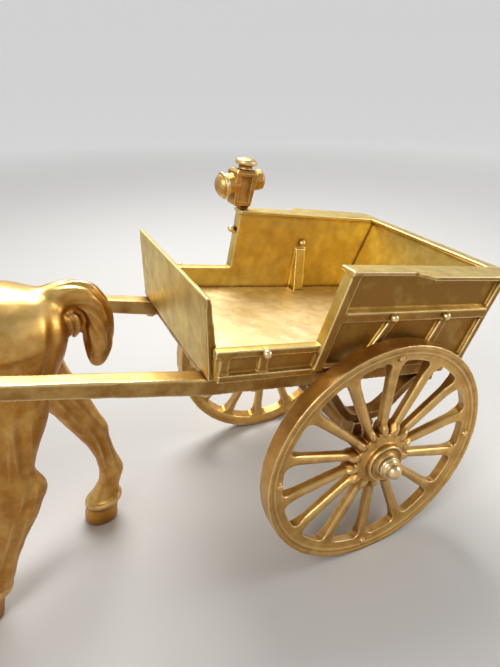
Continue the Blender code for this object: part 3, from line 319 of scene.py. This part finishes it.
def cast_brass(name, bright, brown, bare, gloss, age_and_shade, sand=FINE_SAND):
    """A cast brass in its bright, brown and bare colours.

    gloss is its roughness in each of them. Its aging numbers are the size of a sheltered corner, then how
    patchy, then how much painted shade browns its sides and its outside. sand is the grain's size, its height
    and how pitted it is.
    """
    material = bpy.data.materials.new(name)
    tree = plain_nodes(material)
    skin_inputs = {"Grain_Size": sand[0], "Pits": sand[2]}
    skin = add_node(tree, "ShaderNodeGroup", {"node_tree": SAND_GRAIN}, **skin_inputs).outputs
    age_and_shade_inputs = {"Shelter_Size": age_and_shade[0], "Patchiness": age_and_shade[1], "SideShade": age_and_shade[2], "OutsideShade": age_and_shade[3]}
    aged_and_shaded = add_node(tree, "ShaderNodeGroup", {"node_tree": HANDS_AND_SHADE}, **age_and_shade_inputs).outputs
    deeper = [channel * share for channel, share in zip(bright, MOTTLE_DEEPENS)]
    tone = blend_colours(tree, skin["Mottle"], bright, deeper)
    # Brown tarnish in corners and patches, and painted shade on sides and outer faces, darken the colour
    # here.
    darkened = blend_colours(tree, aged_and_shaded["Tarnish"], tone, brown)
    colour = blend_colours(tree, aged_and_shaded["Wear"], darkened, bare)
    dulled = add_node(tree, "ShaderNodeMapRange", Value=aged_and_shaded["Tarnish"], To_Min=gloss[0], To_Max=gloss[1])
    rubbed = maths(tree, "MULTIPLY", aged_and_shaded["Wear"], gloss[0] - gloss[2])
    rough = maths(tree, "SUBTRACT", dulled.outputs[0], rubbed)
    bump = add_node(tree, "ShaderNodeBump", Height=skin["Height"], Distance=sand[1] * MM).outputs[0]
    finish = {"Metallic": 1.0, "Base_Color": colour, "Roughness": rough, "Normal": bump}
    brass = add_node(tree, "ShaderNodeBsdfPrincipled", **finish)
    add_node(tree, "ShaderNodeOutputMaterial", Surface=brass.outputs[0])
    return material


def settle(piece):
    """Applies a piece's modifiers to its mesh."""
    graph = bpy.context.evaluated_depsgraph_get()
    mesh = bpy.data.meshes.new_from_object(piece.evaluated_get(graph))
    piece.modifiers.clear()
    piece.data = mesh


def rub(piece, times):
    """Rubs a piece's edges round."""
    rubbed = piece.modifiers.new("rubbed", "SMOOTH")
    rubbed.iterations = times
    settle(piece)


def pour(bm, name, grid, rubbing):
    """Fuses forms, drawn in millimetres, into one casting and rubs its edges round."""
    piece = new_piece(name, bm)
    fused = piece.modifiers.new("poured", "REMESH")
    fused.mode = "VOXEL"
    fused.voxel_size = grid * MM
    fused.use_smooth_shade = True
    rub(piece, rubbing)
    return piece


def form_of(node):
    """A node's solid, in millimetres."""
    bm = bmesh.new()
    bm.from_mesh(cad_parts[node].data)
    bmesh.ops.scale(bm, verts=bm.verts, vec=(1 / MM, 1 / MM, 1 / MM))
    return bm


def surface_of(piece):
    """A piece's points, measured from the axle's place on the ground, and its normals."""
    vertices = piece.data.vertices
    points, normals = np.empty(len(vertices) * 3, np.float32), np.empty(len(vertices) * 3, np.float32)
    vertices.foreach_get("co", points)
    vertices.foreach_get("normal", normals)
    points = points.reshape(-1, 3).astype(float) / MM
    points[:, 0] -= AXLE_X
    return points, normals.reshape(-1, 3)


def reshape(piece, points):
    """Moves a piece's points, measured from the axle's place on the ground."""
    points = points + (AXLE_X, 0, 0)
    piece.data.vertices.foreach_set("co", (points * MM).astype(np.float32).ravel())
    piece.data.update()


def make_uneven(piece, size, depth, seed=0.0):
    """Moves a cast surface in and out a little, as a wooden pattern and a file leave it."""
    points, normals = surface_of(piece)
    heights = [noise.noise(Vector(place)) for place in (points / size + seed).tolist()]
    reshape(piece, points + normals * (np.array(heights) * depth)[:, None])


def mark_edges(piece):
    """Stores how far each point stands out from its neighbours, with 0.5 for a level one, for the finish."""
    points, normals = surface_of(piece)
    ends, count = np.empty(len(piece.data.edges) * 2, np.int32), len(points)
    piece.data.edges.foreach_get("vertices", ends)
    first, last = ends[0::2], ends[1::2]
    lines = points[last] - points[first]
    lines /= np.maximum(np.linalg.norm(lines, axis=1), 1e-9)[:, None]
    met = np.maximum(np.bincount(ends, minlength=count), 1)
    out = np.zeros(count)
    for i in range(3):
        lean = np.bincount(first, lines[:, i], count) - np.bincount(last, lines[:, i], count)
        out += normals[:, i] * lean / met
    out = np.arccos(np.clip(out, -1, 1)) / math.pi
    beside = np.bincount(first, out[last], count) + np.bincount(last, out[first], count)
    marks = piece.data.attributes.new("standing_out", "FLOAT", "POINT")
    marks.data.foreach_set("value", ((out + beside) / (met + 1)).astype(np.float32))


def fit(piece, node, body, material):
    """Gives a piece its finish and puts it in its node's place."""
    mark_edges(piece)
    piece.data.materials.clear()
    piece.data.materials.append(material)
    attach(piece, body)
    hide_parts(node)


tray_brass = cast_brass("tray_brass", TRAY_GOLD, TRAY_BROWN, TRAY_BARE, TRAY_GLOSS, TRAY_AGE_AND_SHADE, TRAY_SAND)
lit_floor_brass = cast_brass("lit_floor_brass", FLOOR_LIT_GOLD, TRAY_BROWN, TRAY_BARE, FLOOR_GLOSS, FLOOR_AGE, FLOOR_SAND)
# The soldered boards are drawn wider, to close the gap that the solids leave beside them.
for seed, (node, grid) in enumerate(TRAY_GRIDS.items()):
    board = pour(form_of(node), f"{node}_casting", grid, RUBBING)
    points, _ = surface_of(board)
    points[:, 1] *= 1 + SOLDERED.get(node, 0) / np.abs(points[:, 1]).max()
    reshape(board, points)
    make_uneven(board, *TRAY_UNEVEN, seed)
    fit(board, node, "cart", lit_floor_brass if node == "tray_floor" else tray_brass)

# The shafts and crossbars
# Two square bars, cast with their eyes, run from under the tray to the horse, and two short bars cross
# between them under the floor. Painted shade browns their sides and undersides, leaving their tops bright.
SHAFT_GOLD = (0.90, 0.66, 0.27)
SHAFT_BROWN = (0.33, 0.17, 0.045)
SHAFT_GLOSS = (0.36, 0.52, 0.26)
# Painted shade: much on faces that don't look up, a little on faces turned outward.
SHAFT_AGE_AND_SHADE = (5.0, 0.5, 0.6, 0.1)
SHAFT_GRID = 0.5
SHAFT_RUBBING = 6
SHAFT_UNEVEN = (11.0, 0.14)
shaft_brass = cast_brass("shaft_brass", SHAFT_GOLD, SHAFT_BROWN, TRAY_BARE, SHAFT_GLOSS, SHAFT_AGE_AND_SHADE)
for node in ("near_shaft", "far_shaft", "front_crossbar", "rear_crossbar"):
    bar = pour(form_of(node), f"{node}_casting", SHAFT_GRID, SHAFT_RUBBING)
    make_uneven(bar, *SHAFT_UNEVEN)
    fit(bar, node, "cart", shaft_brass)

# The springs, clamps and axle
# Under the tray the brass is dull and painted dark brown, as the shade it stands in: leaf springs, the clamps
# that hold them to the axle, and the axle itself, with a little grit.
# These dark colours are painted shade for the parts under the tray.
UNDER_SHADED_GOLD = (0.50, 0.31, 0.12)
UNDER_BROWN = (0.17, 0.09, 0.035)
UNDER_BARE = (0.80, 0.58, 0.30)
UNDER_GLOSS = (0.46, 0.62, 0.36)
# Painted shade browns the faces that don't look up.
UNDER_AGE_AND_SHADE = (6.0, 0.5, 0.3, 0.0)
UNDER_SAND = (0.4, 0.07, 0.5)
UNDER_GRID = 0.4
UNDER_UNEVEN = (6.0, 0.1)
dull_brass = cast_brass("dull_brass", UNDER_SHADED_GOLD, UNDER_BROWN, UNDER_BARE, UNDER_GLOSS, UNDER_AGE_AND_SHADE, UNDER_SAND)
for node in ("near_leaf_spring", "far_leaf_spring", "near_axle_clamp", "far_axle_clamp", "axle"):
    under = pour(form_of(node), f"{node}_casting", UNDER_GRID, RUBBING)
    make_uneven(under, *UNDER_UNEVEN)
    fit(under, node, "cart", dull_brass)

# The wheels
# Each is one casting of fourteen round-backed spokes that swell into petals at the hub, a felloe, and a tyre
# with beads on its face. They are browner than the tray, and bright only along the beads and the spokes. A
# petal's size is along the spoke, across it and along the axle.
WHEEL_GOLD = (0.76, 0.47, 0.15)
WHEEL_BROWN = (0.27, 0.125, 0.032)
WHEEL_BARE = (1.0, 0.80, 0.44)
WHEEL_GLOSS = (0.34, 0.50, 0.25)
# Painted shade browns the faces that don't look up a little.
WHEEL_AGE_AND_SHADE = (4.5, 0.5, 0.12, 0.0)
WHEEL_SAND = (0.45, 0.06, 0.4)
WHEEL_GRID = 0.42
WHEEL_UNEVEN = (5.0, 0.08)
TRACK_HALF = 54.0
SPOKES = 14
SPOKE_TURNS = {"near": 137.2, "far": 134.0}
SPOKE_WIDE = (3.0, 5.0)
SPOKE_END = 46.0
SPOKE_FACE = 3.2
SPOKE_ROUND = 0.8
SPOKE_FADES = (4.0, 5.0)
PETAL_RADIUS = 13.4
PETAL = (4.8, 2.6, 4.3)
DRUM_FACE = 7.0
HUB_DISH = 1.6
HUB_DISH_RADII = (5.0, 8.4)


def add_petals(bm, centre, turn_by):
    """Adds the swelling at each spoke's root to a wheel."""
    for i in range(SPOKES):
        a = turn_by + 2 * math.pi * i / SPOKES
        arm = Matrix.Rotation(-a, 4, "Y") @ Matrix.Translation((PETAL_RADIUS, 0, 0))
        place = Matrix.Translation(centre) @ arm @ Matrix.Diagonal((PETAL[0], PETAL[2], PETAL[1], 1))
        bmesh.ops.create_icosphere(bm, subdivisions=3, radius=1.0, matrix=place)


def round_the_spokes(wheel, middle, turn_by):
    """Rounds the spokes' faces across their width, and dishes the hub's face round its cap."""
    points, _ = surface_of(wheel)
    x, y, z = points[:, 0], points[:, 1] - middle.y, points[:, 2] - middle.z
    radius, step = np.hypot(x, z), 2 * math.pi / SPOKES
    off = (np.arctan2(z, x) - turn_by + step / 2) % step - step / 2
    half = (SPOKE_WIDE[0] + (SPOKE_WIDE[1] - SPOKE_WIDE[0]) * radius / SPOKE_END) / 2
    across = np.clip(np.abs(radius * np.sin(off)) / half, 0, 1)
    from_hub = np.clip((radius - PETAL_RADIUS) / SPOKE_FADES[0], 0, 1)
    inside = from_hub * np.clip((SPOKE_END - radius) / SPOKE_FADES[1], 0, 1)
    flat = 1 - inside * (1 - np.sqrt(1 - SPOKE_ROUND * across**2))
    y = np.where(np.abs(y) < SPOKE_FACE, y * flat, y)
    share = np.clip((radius - HUB_DISH_RADII[0]) / (HUB_DISH_RADII[1] - HUB_DISH_RADII[0]), 0, 1)
    y = np.where(np.abs(y) > DRUM_FACE, y - np.sign(y) * HUB_DISH * np.sin(share * math.pi), y)
    points[:, 1] = y + middle.y
    reshape(wheel, points)


wheel_colours = (WHEEL_GOLD, WHEEL_BROWN, WHEEL_BARE)
wheel_brass = cast_brass("wheel_brass", *wheel_colours, WHEEL_GLOSS, WHEEL_AGE_AND_SHADE, WHEEL_SAND)
for prefix, side in (("near", -1), ("far", 1)):
    low, high = [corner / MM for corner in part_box(f"{prefix}_wheel")]
    middle = Vector((0, side * TRACK_HALF, (low.z + high.z) / 2))
    turn_by = math.radians(SPOKE_TURNS[prefix])
    forms = form_of(f"{prefix}_wheel")
    add_petals(forms, middle + Vector((AXLE_X, 0, 0)), turn_by)
    wheel = pour(forms, f"{prefix}_wheel_casting", WHEEL_GRID, RUBBING)
    round_the_spokes(wheel, middle, turn_by)
    make_uneven(wheel, *WHEEL_UNEVEN)
    fit(wheel, f"{prefix}_wheel", f"{prefix}_wheel", wheel_brass)

# The turned pieces
# Hub caps, ball-headed rivets and the pins that hold the horse were turned from rod, so they are brighter
# than the castings and smooth. The bolts under the tray have plain domed heads. A profile is a list of
# radius and height, from the seat of the piece outwards.
TURNED_GOLD = (0.90, 0.68, 0.34)
TURNED_BROWN = (0.36, 0.21, 0.08)
TURNED_BARE = (1.0, 0.88, 0.62)
TURNED_GLOSS = (0.28, 0.45, 0.22)
# Painted shade browns the faces that don't look up a little.
TURNED_AGE_AND_SHADE = (2.5, 0.35, 0.1, 0.0)
TURNED_SKIN = (0.3, 0.015, 0.0)
BALL_RADIUS = 1.75
BALL_CUT = 25
BALL_RINGS = 14
BALL_SIDES = 32
SHANK_RADIUS = 0.9
SHANK_LONGEST = 4.2
ROD_GRID = 0.22
ROD_RUBBING = 4
TRAY_TILT = math.radians(10)
CAP_SIDES = 64
CAP_SHAPE = [
    (0, 0), (4.9, 0), (5, 0.25), (5, 1.0), (4.85, 1.3), (4.5, 1.45), (4.25, 1.6), (4.2, 2.2),
    (3.9, 2.6), (3.45, 2.75), (3.3, 3.0), (3.3, 4.0), (3.15, 4.7), (2.75, 5.4), (2.1, 6.0),
    (1.3, 6.5), (0.6, 6.85), (0.2, 6.97), (0, 7),
]


def along(axis, place):
    """Turns Z to an axis and moves there."""
    return Matrix.Translation(place) @ Vector(axis).to_track_quat("Z", "Y").to_matrix().to_4x4()


turned_colours = (TURNED_GOLD, TURNED_BROWN, TURNED_BARE)
turned_brass = cast_brass("turned_brass", *turned_colours, TURNED_GLOSS, TURNED_AGE_AND_SHADE, TURNED_SKIN)
for prefix, side in (("near", -1), ("far", 1)):
    low, high = [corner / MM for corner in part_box(f"{prefix}_hub_cap")]
    back = low.y if side > 0 else high.y
    place = along((0, side, 0), ((low.x + high.x) / 2, back, (low.z + high.z) / 2))
    cap = new_piece(f"{prefix}_hub_cap_turned", turn(CAP_SHAPE, place, CAP_SIDES))
    fit(cap, f"{prefix}_hub_cap", "cart", turned_brass)

rivets = [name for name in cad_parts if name.endswith("_rivet")]
axes = {name: Vector((0, 1 if name.startswith("far") else -1, 0)) for name in rivets}
axes["near_inner_rib_rivet"], axes["far_inner_rib_rivet"] = Vector((0, 1, 0)), Vector((0, -1, 0))
axes["far_post_rivet"] = Vector((-math.cos(TRAY_TILT), 0, -math.sin(TRAY_TILT)))
angles = [math.radians(-BALL_CUT + (90 + BALL_CUT) * i / BALL_RINGS) for i in range(BALL_RINGS)]
ball = [(BALL_RADIUS * math.cos(a), BALL_RADIUS * math.sin(a)) for a in angles]
for name, axis in axes.items():
    low, high = [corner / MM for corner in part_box(name)]
    head = (low + high) / 2
    for i in range(3):
        if axis[i]:
            head[i] = (high if axis[i] > 0 else low)[i] - math.copysign(BALL_RADIUS, axis[i])
    length = max(abs(axis[i]) * (high - low)[i] for i in range(2))
    foot = -min(SHANK_LONGEST, length - BALL_RADIUS)
    stem = [(0, foot), (SHANK_RADIUS, foot), (SHANK_RADIUS, -BALL_RADIUS * math.sin(math.radians(BALL_CUT)))]
    rivet = new_piece(f"{name}_turned", turn([*stem, *ball, (0, BALL_RADIUS)], along(axis, head), BALL_SIDES))
    fit(rivet, name, "cart", turned_brass)

rods = {name: "cart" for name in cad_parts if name.endswith("_bolt")}
rods |= {"lamp_stud": "cart", "near_shaft_pin": "horse", "far_shaft_pin": "horse"}
for node, body in rods.items():
    rod = pour(form_of(node), f"{node}_rod", ROD_GRID, ROD_RUBBING)
    fit(rod, node, body, turned_brass)

# The lamp
# A cast lantern stands on the far front post, held by a stud: its body has a sunk window in a raised frame, a
# barrel goes through it with a bull's-eye in a flanged ring in front, and a capped chimney sits on top.
LAMP_GLOSS = (0.38, 0.52, 0.28)
# Painted shade browns the lamp's faces that don't look up.
LAMP_AGE_AND_SHADE = (3.0, 0.6, 0.25, 0.0)
LAMP_GRID = 0.2
LENS_DIP = math.radians(4)
BEZEL_SHAPE = [
    (0, 0), (5.4, 0), (5.6, 0.2), (5.6, 0.5), (5.3, 0.65), (5.35, 0.8), (6.3, 0.9), (6.55, 1.1),
    (6.6, 1.4), (6.55, 1.8), (6.3, 2.1), (5.9, 2.2), (5.7, 2.35), (5.5, 2.9), (5.0, 3.6),
    (4.2, 4.3), (3.2, 4.9), (2.1, 5.3), (1.0, 5.5), (0, 5.55),
]
CHIMNEY_SHAPE = [
    (0, 0), (3.5, 0), (3.55, 0.3), (3.3, 0.9), (3.25, 1.5), (3.5, 1.9), (4.9, 2.1), (5.3, 2.3),
    (5.4, 2.7), (5.4, 3.5), (5.25, 3.9), (4.7, 4.5), (3.6, 5.0), (2.2, 5.35), (1.0, 5.5),
    (0, 5.55),
]
lamp_brass = cast_brass("lamp_brass", WHEEL_GOLD, TRAY_BROWN, TRAY_BARE, LAMP_GLOSS, LAMP_AGE_AND_SHADE)
lantern = pour(form_of("lamp_body"), "lamp_body_casting", LAMP_GRID, RUBBING)
fit(lantern, "lamp_body", "cart", lamp_brass)
cart_up = Vector((math.sin(TRAY_TILT), 0, math.cos(TRAY_TILT)))
lens_line = Vector((-math.cos(LENS_DIP), 0, -math.sin(LENS_DIP)))
for node, shape, axis in (("lamp_bezel", BEZEL_SHAPE, lens_line), ("lamp_chimney", CHIMNEY_SHAPE, cart_up)):
    low, high = [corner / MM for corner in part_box(node)]
    base = (low + high) / 2 - axis * shape[-1][1] / 2
    fitting = new_piece(f"{node}_turned", turn(shape, along(axis, base), CAP_SIDES))
    fit(fitting, node, "cart", lamp_brass)

# The horse
# One heavy casting, the brightest piece: years of polishing have left it a bright gold, with orange brown in
# the creases of the muscles, under the tail, in the mane and round the hooves. Painted shade browns every
# face that doesn't look up, so the rump, back and tail stay palest and the legs and flanks are browner. Its
# solid is poured and rubbed smooth, dressed with hair and mouldings, poured again, and chased.
HORSE_GOLD = (0.98, 0.68, 0.25)
HORSE_BROWN = (0.41, 0.18, 0.033)
HORSE_BARE = (1.0, 0.86, 0.54)
HORSE_GLOSS = (0.28, 0.40, 0.22)
# Painted shade browns much of every face that doesn't look up.
HORSE_AGE_AND_SHADE = (7.0, 0.4, 0.75, 0.0)
HORSE_SAND = (0.5, 0.03, 0.2)
HORSE_UNEVEN = (6.0, 0.16)
FIRST_GRID = 0.9
FIRST_RUBBING = 18
HORSE_GRID = 0.55
CHASED_RUBBING = 2
HAIR_LIFT = 0.4


def curve_through(path, sizes, steps=5):
    """More points on a smooth curve through a path, and the size at each."""
    path = [Vector(point) for point in path]
    points, between = [], []
    for i in range(len(path) - 1):
        p0, p1, p2, p3 = (path[min(max(j, 0), len(path) - 1)] for j in (i - 1, i, i + 1, i + 2))
        for k in range(steps):
            t = k / steps
            bend = (2 * p0 - 5 * p1 + 4 * p2 - p3) * t**2 + (3 * p1 - p0 - 3 * p2 + p3) * t**3
            points.append((2 * p1 + (p2 - p0) * t + bend) / 2)
            between.append(sizes[i] + (sizes[i + 1] - sizes[i]) * t)
    return [*points, path[-1]], [*between, sizes[-1]]


def add_lock(bm, path, radii, sides=8):
    """A rope of hair or a moulding along a smooth curve, measured from the axle's place on the ground."""
    points, radii = curve_through(path, radii)
    points = [point + Vector((AXLE_X, 0, 0)) for point in points]
    across = Vector((0.31, 0.83, 0.46))
    rings = []
    for i, point in enumerate(points):
        line = (points[min(i + 1, len(points) - 1)] - points[max(i - 1, 0)]).normalized()
        across = (across - line * across.dot(line)).normalized()
        over = line.cross(across)
        angles = [2 * math.pi * k / sides for k in range(sides)]
        ring = [point + (across * math.cos(a) + over * math.sin(a)) * radii[i] for a in angles]
        rings.append([bm.verts.new(corner) for corner in ring])
    for low, high in zip(rings, rings[1:]):
        for k in range(sides):
            bm.faces.new((low[k], low[(k + 1) % sides], high[(k + 1) % sides], high[k]))
    bm.faces.new(rings[0][::-1])
    bm.faces.new(rings[-1])


def on_hide(point, lift=0.0):
    """The nearest place on the horse's surface, measured as the point is, lifted off it."""
    found, normal, *_ = hide.find_nearest(beside_axle(*point))
    return found / MM + normal * lift - Vector((AXLE_X, 0, 0))


def stroke(points, normals, path, reach, lift):
    """How a tool drawn along a path moves each point: outward by lift, or inward where lift is negative."""
    curve = curve_through(path, [0] * len(path))[0]
    path = np.array([on_hide(point) for point in curve], float)
    near = np.all((points > path.min(0) - reach) & (points < path.max(0) + reach), axis=1)
    close = points[near]
    nearest, drawn = np.linalg.norm(close - path[0], axis=1), np.zeros(len(close))
    total = 0.0
    for start, end in zip(path, path[1:]):
        line = end - start
        long = np.linalg.norm(line)
        share = np.clip((close - start) @ line / max(long**2, 1e-9), 0, 1)
        off = np.linalg.norm(close - start - share[:, None] * line, axis=1)
        drawn = np.where(off < nearest, total + share * long, drawn)
        nearest = np.minimum(nearest, off)
        total += long
    fade = np.clip(1 - nearest / reach, 0, 1)
    press = np.clip(np.minimum(drawn, total - drawn) / (0.3 * total), 0, 1) if total else 1.0
    moves = np.zeros_like(points)
    moves[near] = normals[near] * (lift * press * fade * fade * (3 - 2 * fade))[:, None]
    return moves


first = pour(form_of("horse"), "horse_first_pour", FIRST_GRID, FIRST_RUBBING)
hide = BVHTree.FromObject(first, bpy.context.evaluated_depsgraph_get())
forms = bmesh.new()
forms.from_mesh(first.data)
bmesh.ops.scale(forms, verts=forms.verts, vec=(1 / MM, 1 / MM, 1 / MM))
bpy.data.objects.remove(first)

# The mane lies in locks from the crest down both sides of the neck, with a forelock between the ears.
CREST = [(-222, 146), (-228, 154), (-233, 162), (-238, 170), (-243, 178), (-249, 186), (-256, 192)]
LOCKS = 15
LOCK_FALLS = (15, 18, 13)
LOCK_SWAY = 1.6
LOCK_RADII = (2.0, 1.9, 1.7, 1.3, 0.6)
FORELOCK = [(-256, 0.4, 192), (-262, 1.0, 188), (-266, 1.2, 183), (-269, 0.9, 178)]
FORELOCK_SPREAD = (-2.2, 0, 2.2)
FORELOCK_RADII = (1.6, 1.6, 1.3, 0.5)
for side in (-1, 1):
    for k in range(LOCKS):
        at = k / (LOCKS - 1) * (len(CREST) - 1.001)
        (x0, z0), (x1, z1) = CREST[int(at)], CREST[int(at) + 1]
        x, z = x0 + (x1 - x0) * (at % 1), z0 + (z1 - z0) * (at % 1)
        fall = LOCK_FALLS[k % 3]
        path = [(x, side * 0.5, z)]
        for u in (0.25, 0.5, 0.75, 1.0):
            sway = LOCK_SWAY * math.sin(3.1 * u + k * 1.7)
            path.append(on_hide((x + 6 * u * u + sway, side * (3 + 10 * u), z - fall * u), HAIR_LIFT))
        add_lock(forms, path, LOCK_RADII)
for spread in FORELOCK_SPREAD:
    root, *rest = [(x, y * spread, z) for x, y, z in FORELOCK]
    add_lock(forms, [root, *[on_hide(point, HAIR_LIFT) for point in rest]], FORELOCK_RADII)

# The tail is a thick switch that arches up from the rump and hangs. A few short curls fill its root below.
DOCK = [
    (-119, 130), (-113, 131.5), (-107.5, 130.5), (-103.6, 127), (-102, 121.5), (-101.9, 115),
    (-102.6, 108.5), (-103.6, 103), (-104.6, 98.6),
]
CURLS = [
    [(-116, -4.5, 127), (-113, -6, 123), (-112.5, -5, 118.5), (-114, -3.5, 115.5)],
    [(-113, -3, 127), (-110, -4.5, 122.5), (-110, -3.5, 117.5), (-112, -1.5, 114)],
    [(-114, 3, 127), (-111, 4.5, 122.5), (-111, 3.5, 118), (-113, 2, 115)],
    [(-111, 0, 127), (-108.5, 0.5, 122), (-109, 0, 117), (-111.5, 0, 113)],
]
CURL_RADII = (1.7, 1.8, 1.4, 0.7)
for path in CURLS:
    add_lock(forms, path, CURL_RADII)

# A rolled coronet goes round each leg above its hoof, and a rolled edge along both sides of the girth strap.
# CORONETS has the near hind leg's middle first, then those of the far hind, near fore and far fore legs.
CORONETS = [(-164.5, -17, 12.6), (-109.6, 17, 12.6), (-234.2, -13.5, 12.4), (-262, 13.5, 12.4)]
CORONET_ROUND = 10.0
CORONET_SLOPE = 0.6
CORONET_RADIUS = 2.0
CORONET_SUNK = -0.3
CORONET_STEPS = 16
GIRTH_EDGES = (-210.2, -199.8)
GIRTH_ROUND = (34.0, 38.0)
GIRTH_MIDDLE = 108.5
GIRTH_RADIUS = 0.6
GIRTH_SUNK = -0.1
GIRTH_STEPS = 32
EYE_RADIUS = 1.9
EYE_SUNK = -0.9
EYE_PLACE = (-268.5, 10, 178)
for x, y, z in CORONETS:
    angles = [2 * math.pi * i / CORONET_STEPS for i in range(CORONET_STEPS + 1)]
    circle = [(math.cos(a), math.sin(a)) for a in angles]
    circle = [(x + CORONET_ROUND * c, y + CORONET_ROUND * s, z + CORONET_SLOPE * c) for c, s in circle]
    add_lock(forms, [on_hide(point, CORONET_SUNK) for point in circle], [CORONET_RADIUS] * len(circle))
for x in GIRTH_EDGES:
    angles = [2 * math.pi * i / GIRTH_STEPS for i in range(GIRTH_STEPS + 1)]
    ring = [(x, GIRTH_ROUND[0] * math.cos(a), GIRTH_MIDDLE + GIRTH_ROUND[1] * math.sin(a)) for a in angles]
    add_lock(forms, [on_hide(point, GIRTH_SUNK) for point in ring], [GIRTH_RADIUS] * len(ring), 6)
for side in (-1, 1):
    x, y, z = EYE_PLACE
    eye = on_hide((x, side * y, z), EYE_SUNK) + Vector((AXLE_X, 0, 0))
    bmesh.ops.create_icosphere(forms, subdivisions=3, radius=EYE_RADIUS, matrix=Matrix.Translation(eye))
horse = pour(forms, "horse_casting", HORSE_GRID, RUBBING)

# Chased lines: where the tool runs, how far it reaches, and how far it raises or sinks the metal. Strands run
# the length of the tail. The side lines are cut on both sides of the horse, and the single ones once.
STRANDS = 12
STRAND_ROUND = 9
STRAND_REACH = 2.0
STRAND_LIFTS = (-0.35, -0.7)
SIDE_LINES = [
    ([(-118, 8, 131), (-120, 14, 122), (-123, 19, 111), (-129, 21, 96)], 4.0, -0.9),
    ([(-152, 22, 124), (-150, 24, 110), (-146, 23, 94)], 7.0, -1.2),
    ([(-150, 17, 134)], 8.0, 0.8),
    ([(-171, 26, 124), (-169, 26, 100)], 4.0, -0.25),
    ([(-179, 27, 124), (-177, 27, 100)], 4.0, -0.25),
    ([(-187, 27, 124), (-185, 27, 100)], 4.0, -0.25),
    ([(-221, 21, 134), (-225, 23, 114), (-221, 21, 94)], 6.0, -1.2),
    ([(-237, 15, 136), (-245, 17, 114)], 5.5, -1.0),
    ([(-238, 11, 128), (-250, 9, 150), (-258, 7, 168)], 4.0, -0.9),
    ([(-263, 8.5, 175)], 6.5, 0.8),
    ([(-256, 8, 172), (-262, 8, 166.5), (-272, 7, 163)], 2.4, -0.8),
    ([(-270, 7.6, 175), (-285, 6, 158)], 2.2, 0.7),
    ([(-265, 8, 180), (-268, 8, 181), (-272, 7, 178.5)], 1.5, 0.9),
    ([(-290.5, 4.6, 150)], 3.0, 0.7),
    ([(-291.2, 4.8, 149.8)], 1.7, -1.8),
    ([(-296, 1, 144.5), (-290, 5.2, 146), (-283, 5.8, 150.5)], 1.4, -1.1),
    ([(-258.5, 5.3, 188), (-259.5, 5.3, 197)], 1.7, -1.1),
]
SINGLE_LINES = [
    ([(-133.5, -17, 60)], 8.0, 1.2),
    ([(-103, 17, 56)], 8.0, 1.2),
    ([(-231, -13.5, 57)], 8.0, 1.2),
    ([(-251, 13.5, 57)], 8.0, 1.2),
    ([(-254, 0, 124), (-255, 0, 100)], 5.0, -1.4),
    ([(-134, -24, 104), (-137, -25, 86), (-137, -25, 74), (-136, -23, 62)], 3.6, -1.2),
    ([(-143, -25, 98), (-147, -25, 80), (-149, -24, 62)], 3.6, -1.1),
    ([(-142, -23, 58), (-149, -23, 40), (-157, -23, 22)], 2.8, -1.1),
    ([(-138, -23, 66), (-143, -23, 50)], 3.0, -1.1),
    ([(-124, 9, 90), (-117, 9, 74), (-108, 10, 56)], 3.4, -1.2),
    ([(-110, 10, 64), (-106, 11, 48), (-105, 11, 28)], 2.8, -1.1),
    ([(-105, 23, 56), (-103, 22, 28)], 2.8, -1.0),
    ([(-230, -20, 50), (-228.5, -19, 26)], 2.8, -1.0),
    ([(-252, 20, 50), (-253, 19, 26)], 2.8, -1.0),
]
points, normals = surface_of(horse)
for k in range(STRANDS):
    path = []
    for i, (x, z) in enumerate(DOCK):
        (x0, z0), (x1, z1) = DOCK[max(i - 1, 0)], DOCK[min(i + 1, len(DOCK) - 1)]
        line = Vector((x1 - x0, 0, z1 - z0)).normalized()
        a = 2 * math.pi * k / STRANDS + 0.16 * i + 0.35 * math.sin(1.9 * k + 0.9 * i)
        out = Vector((line.z, 0, -line.x)) * math.sin(a) + Vector((0, math.cos(a), 0))
        path.append(Vector((x, 0, z)) + out * STRAND_ROUND)
    points += stroke(points, normals, path, STRAND_REACH, STRAND_LIFTS[k % 2])
for side in (-1, 1):
    for path, reach, lift in SIDE_LINES:
        points += stroke(points, normals, [(x, y * side, z) for x, y, z in path], reach, lift)
for path, reach, lift in SINGLE_LINES:
    points += stroke(points, normals, path, reach, lift)
reshape(horse, points)
rub(horse, CHASED_RUBBING)
make_uneven(horse, *HORSE_UNEVEN)
points, _ = surface_of(horse)
points[:, 2] = np.maximum(points[:, 2], 0)
reshape(horse, points)
horse_colours = (HORSE_GOLD, HORSE_BROWN, HORSE_BARE)
horse_brass = cast_brass("horse_brass", *horse_colours, HORSE_GLOSS, HORSE_AGE_AND_SHADE, HORSE_SAND)
fit(horse, "horse", "horse", horse_brass)
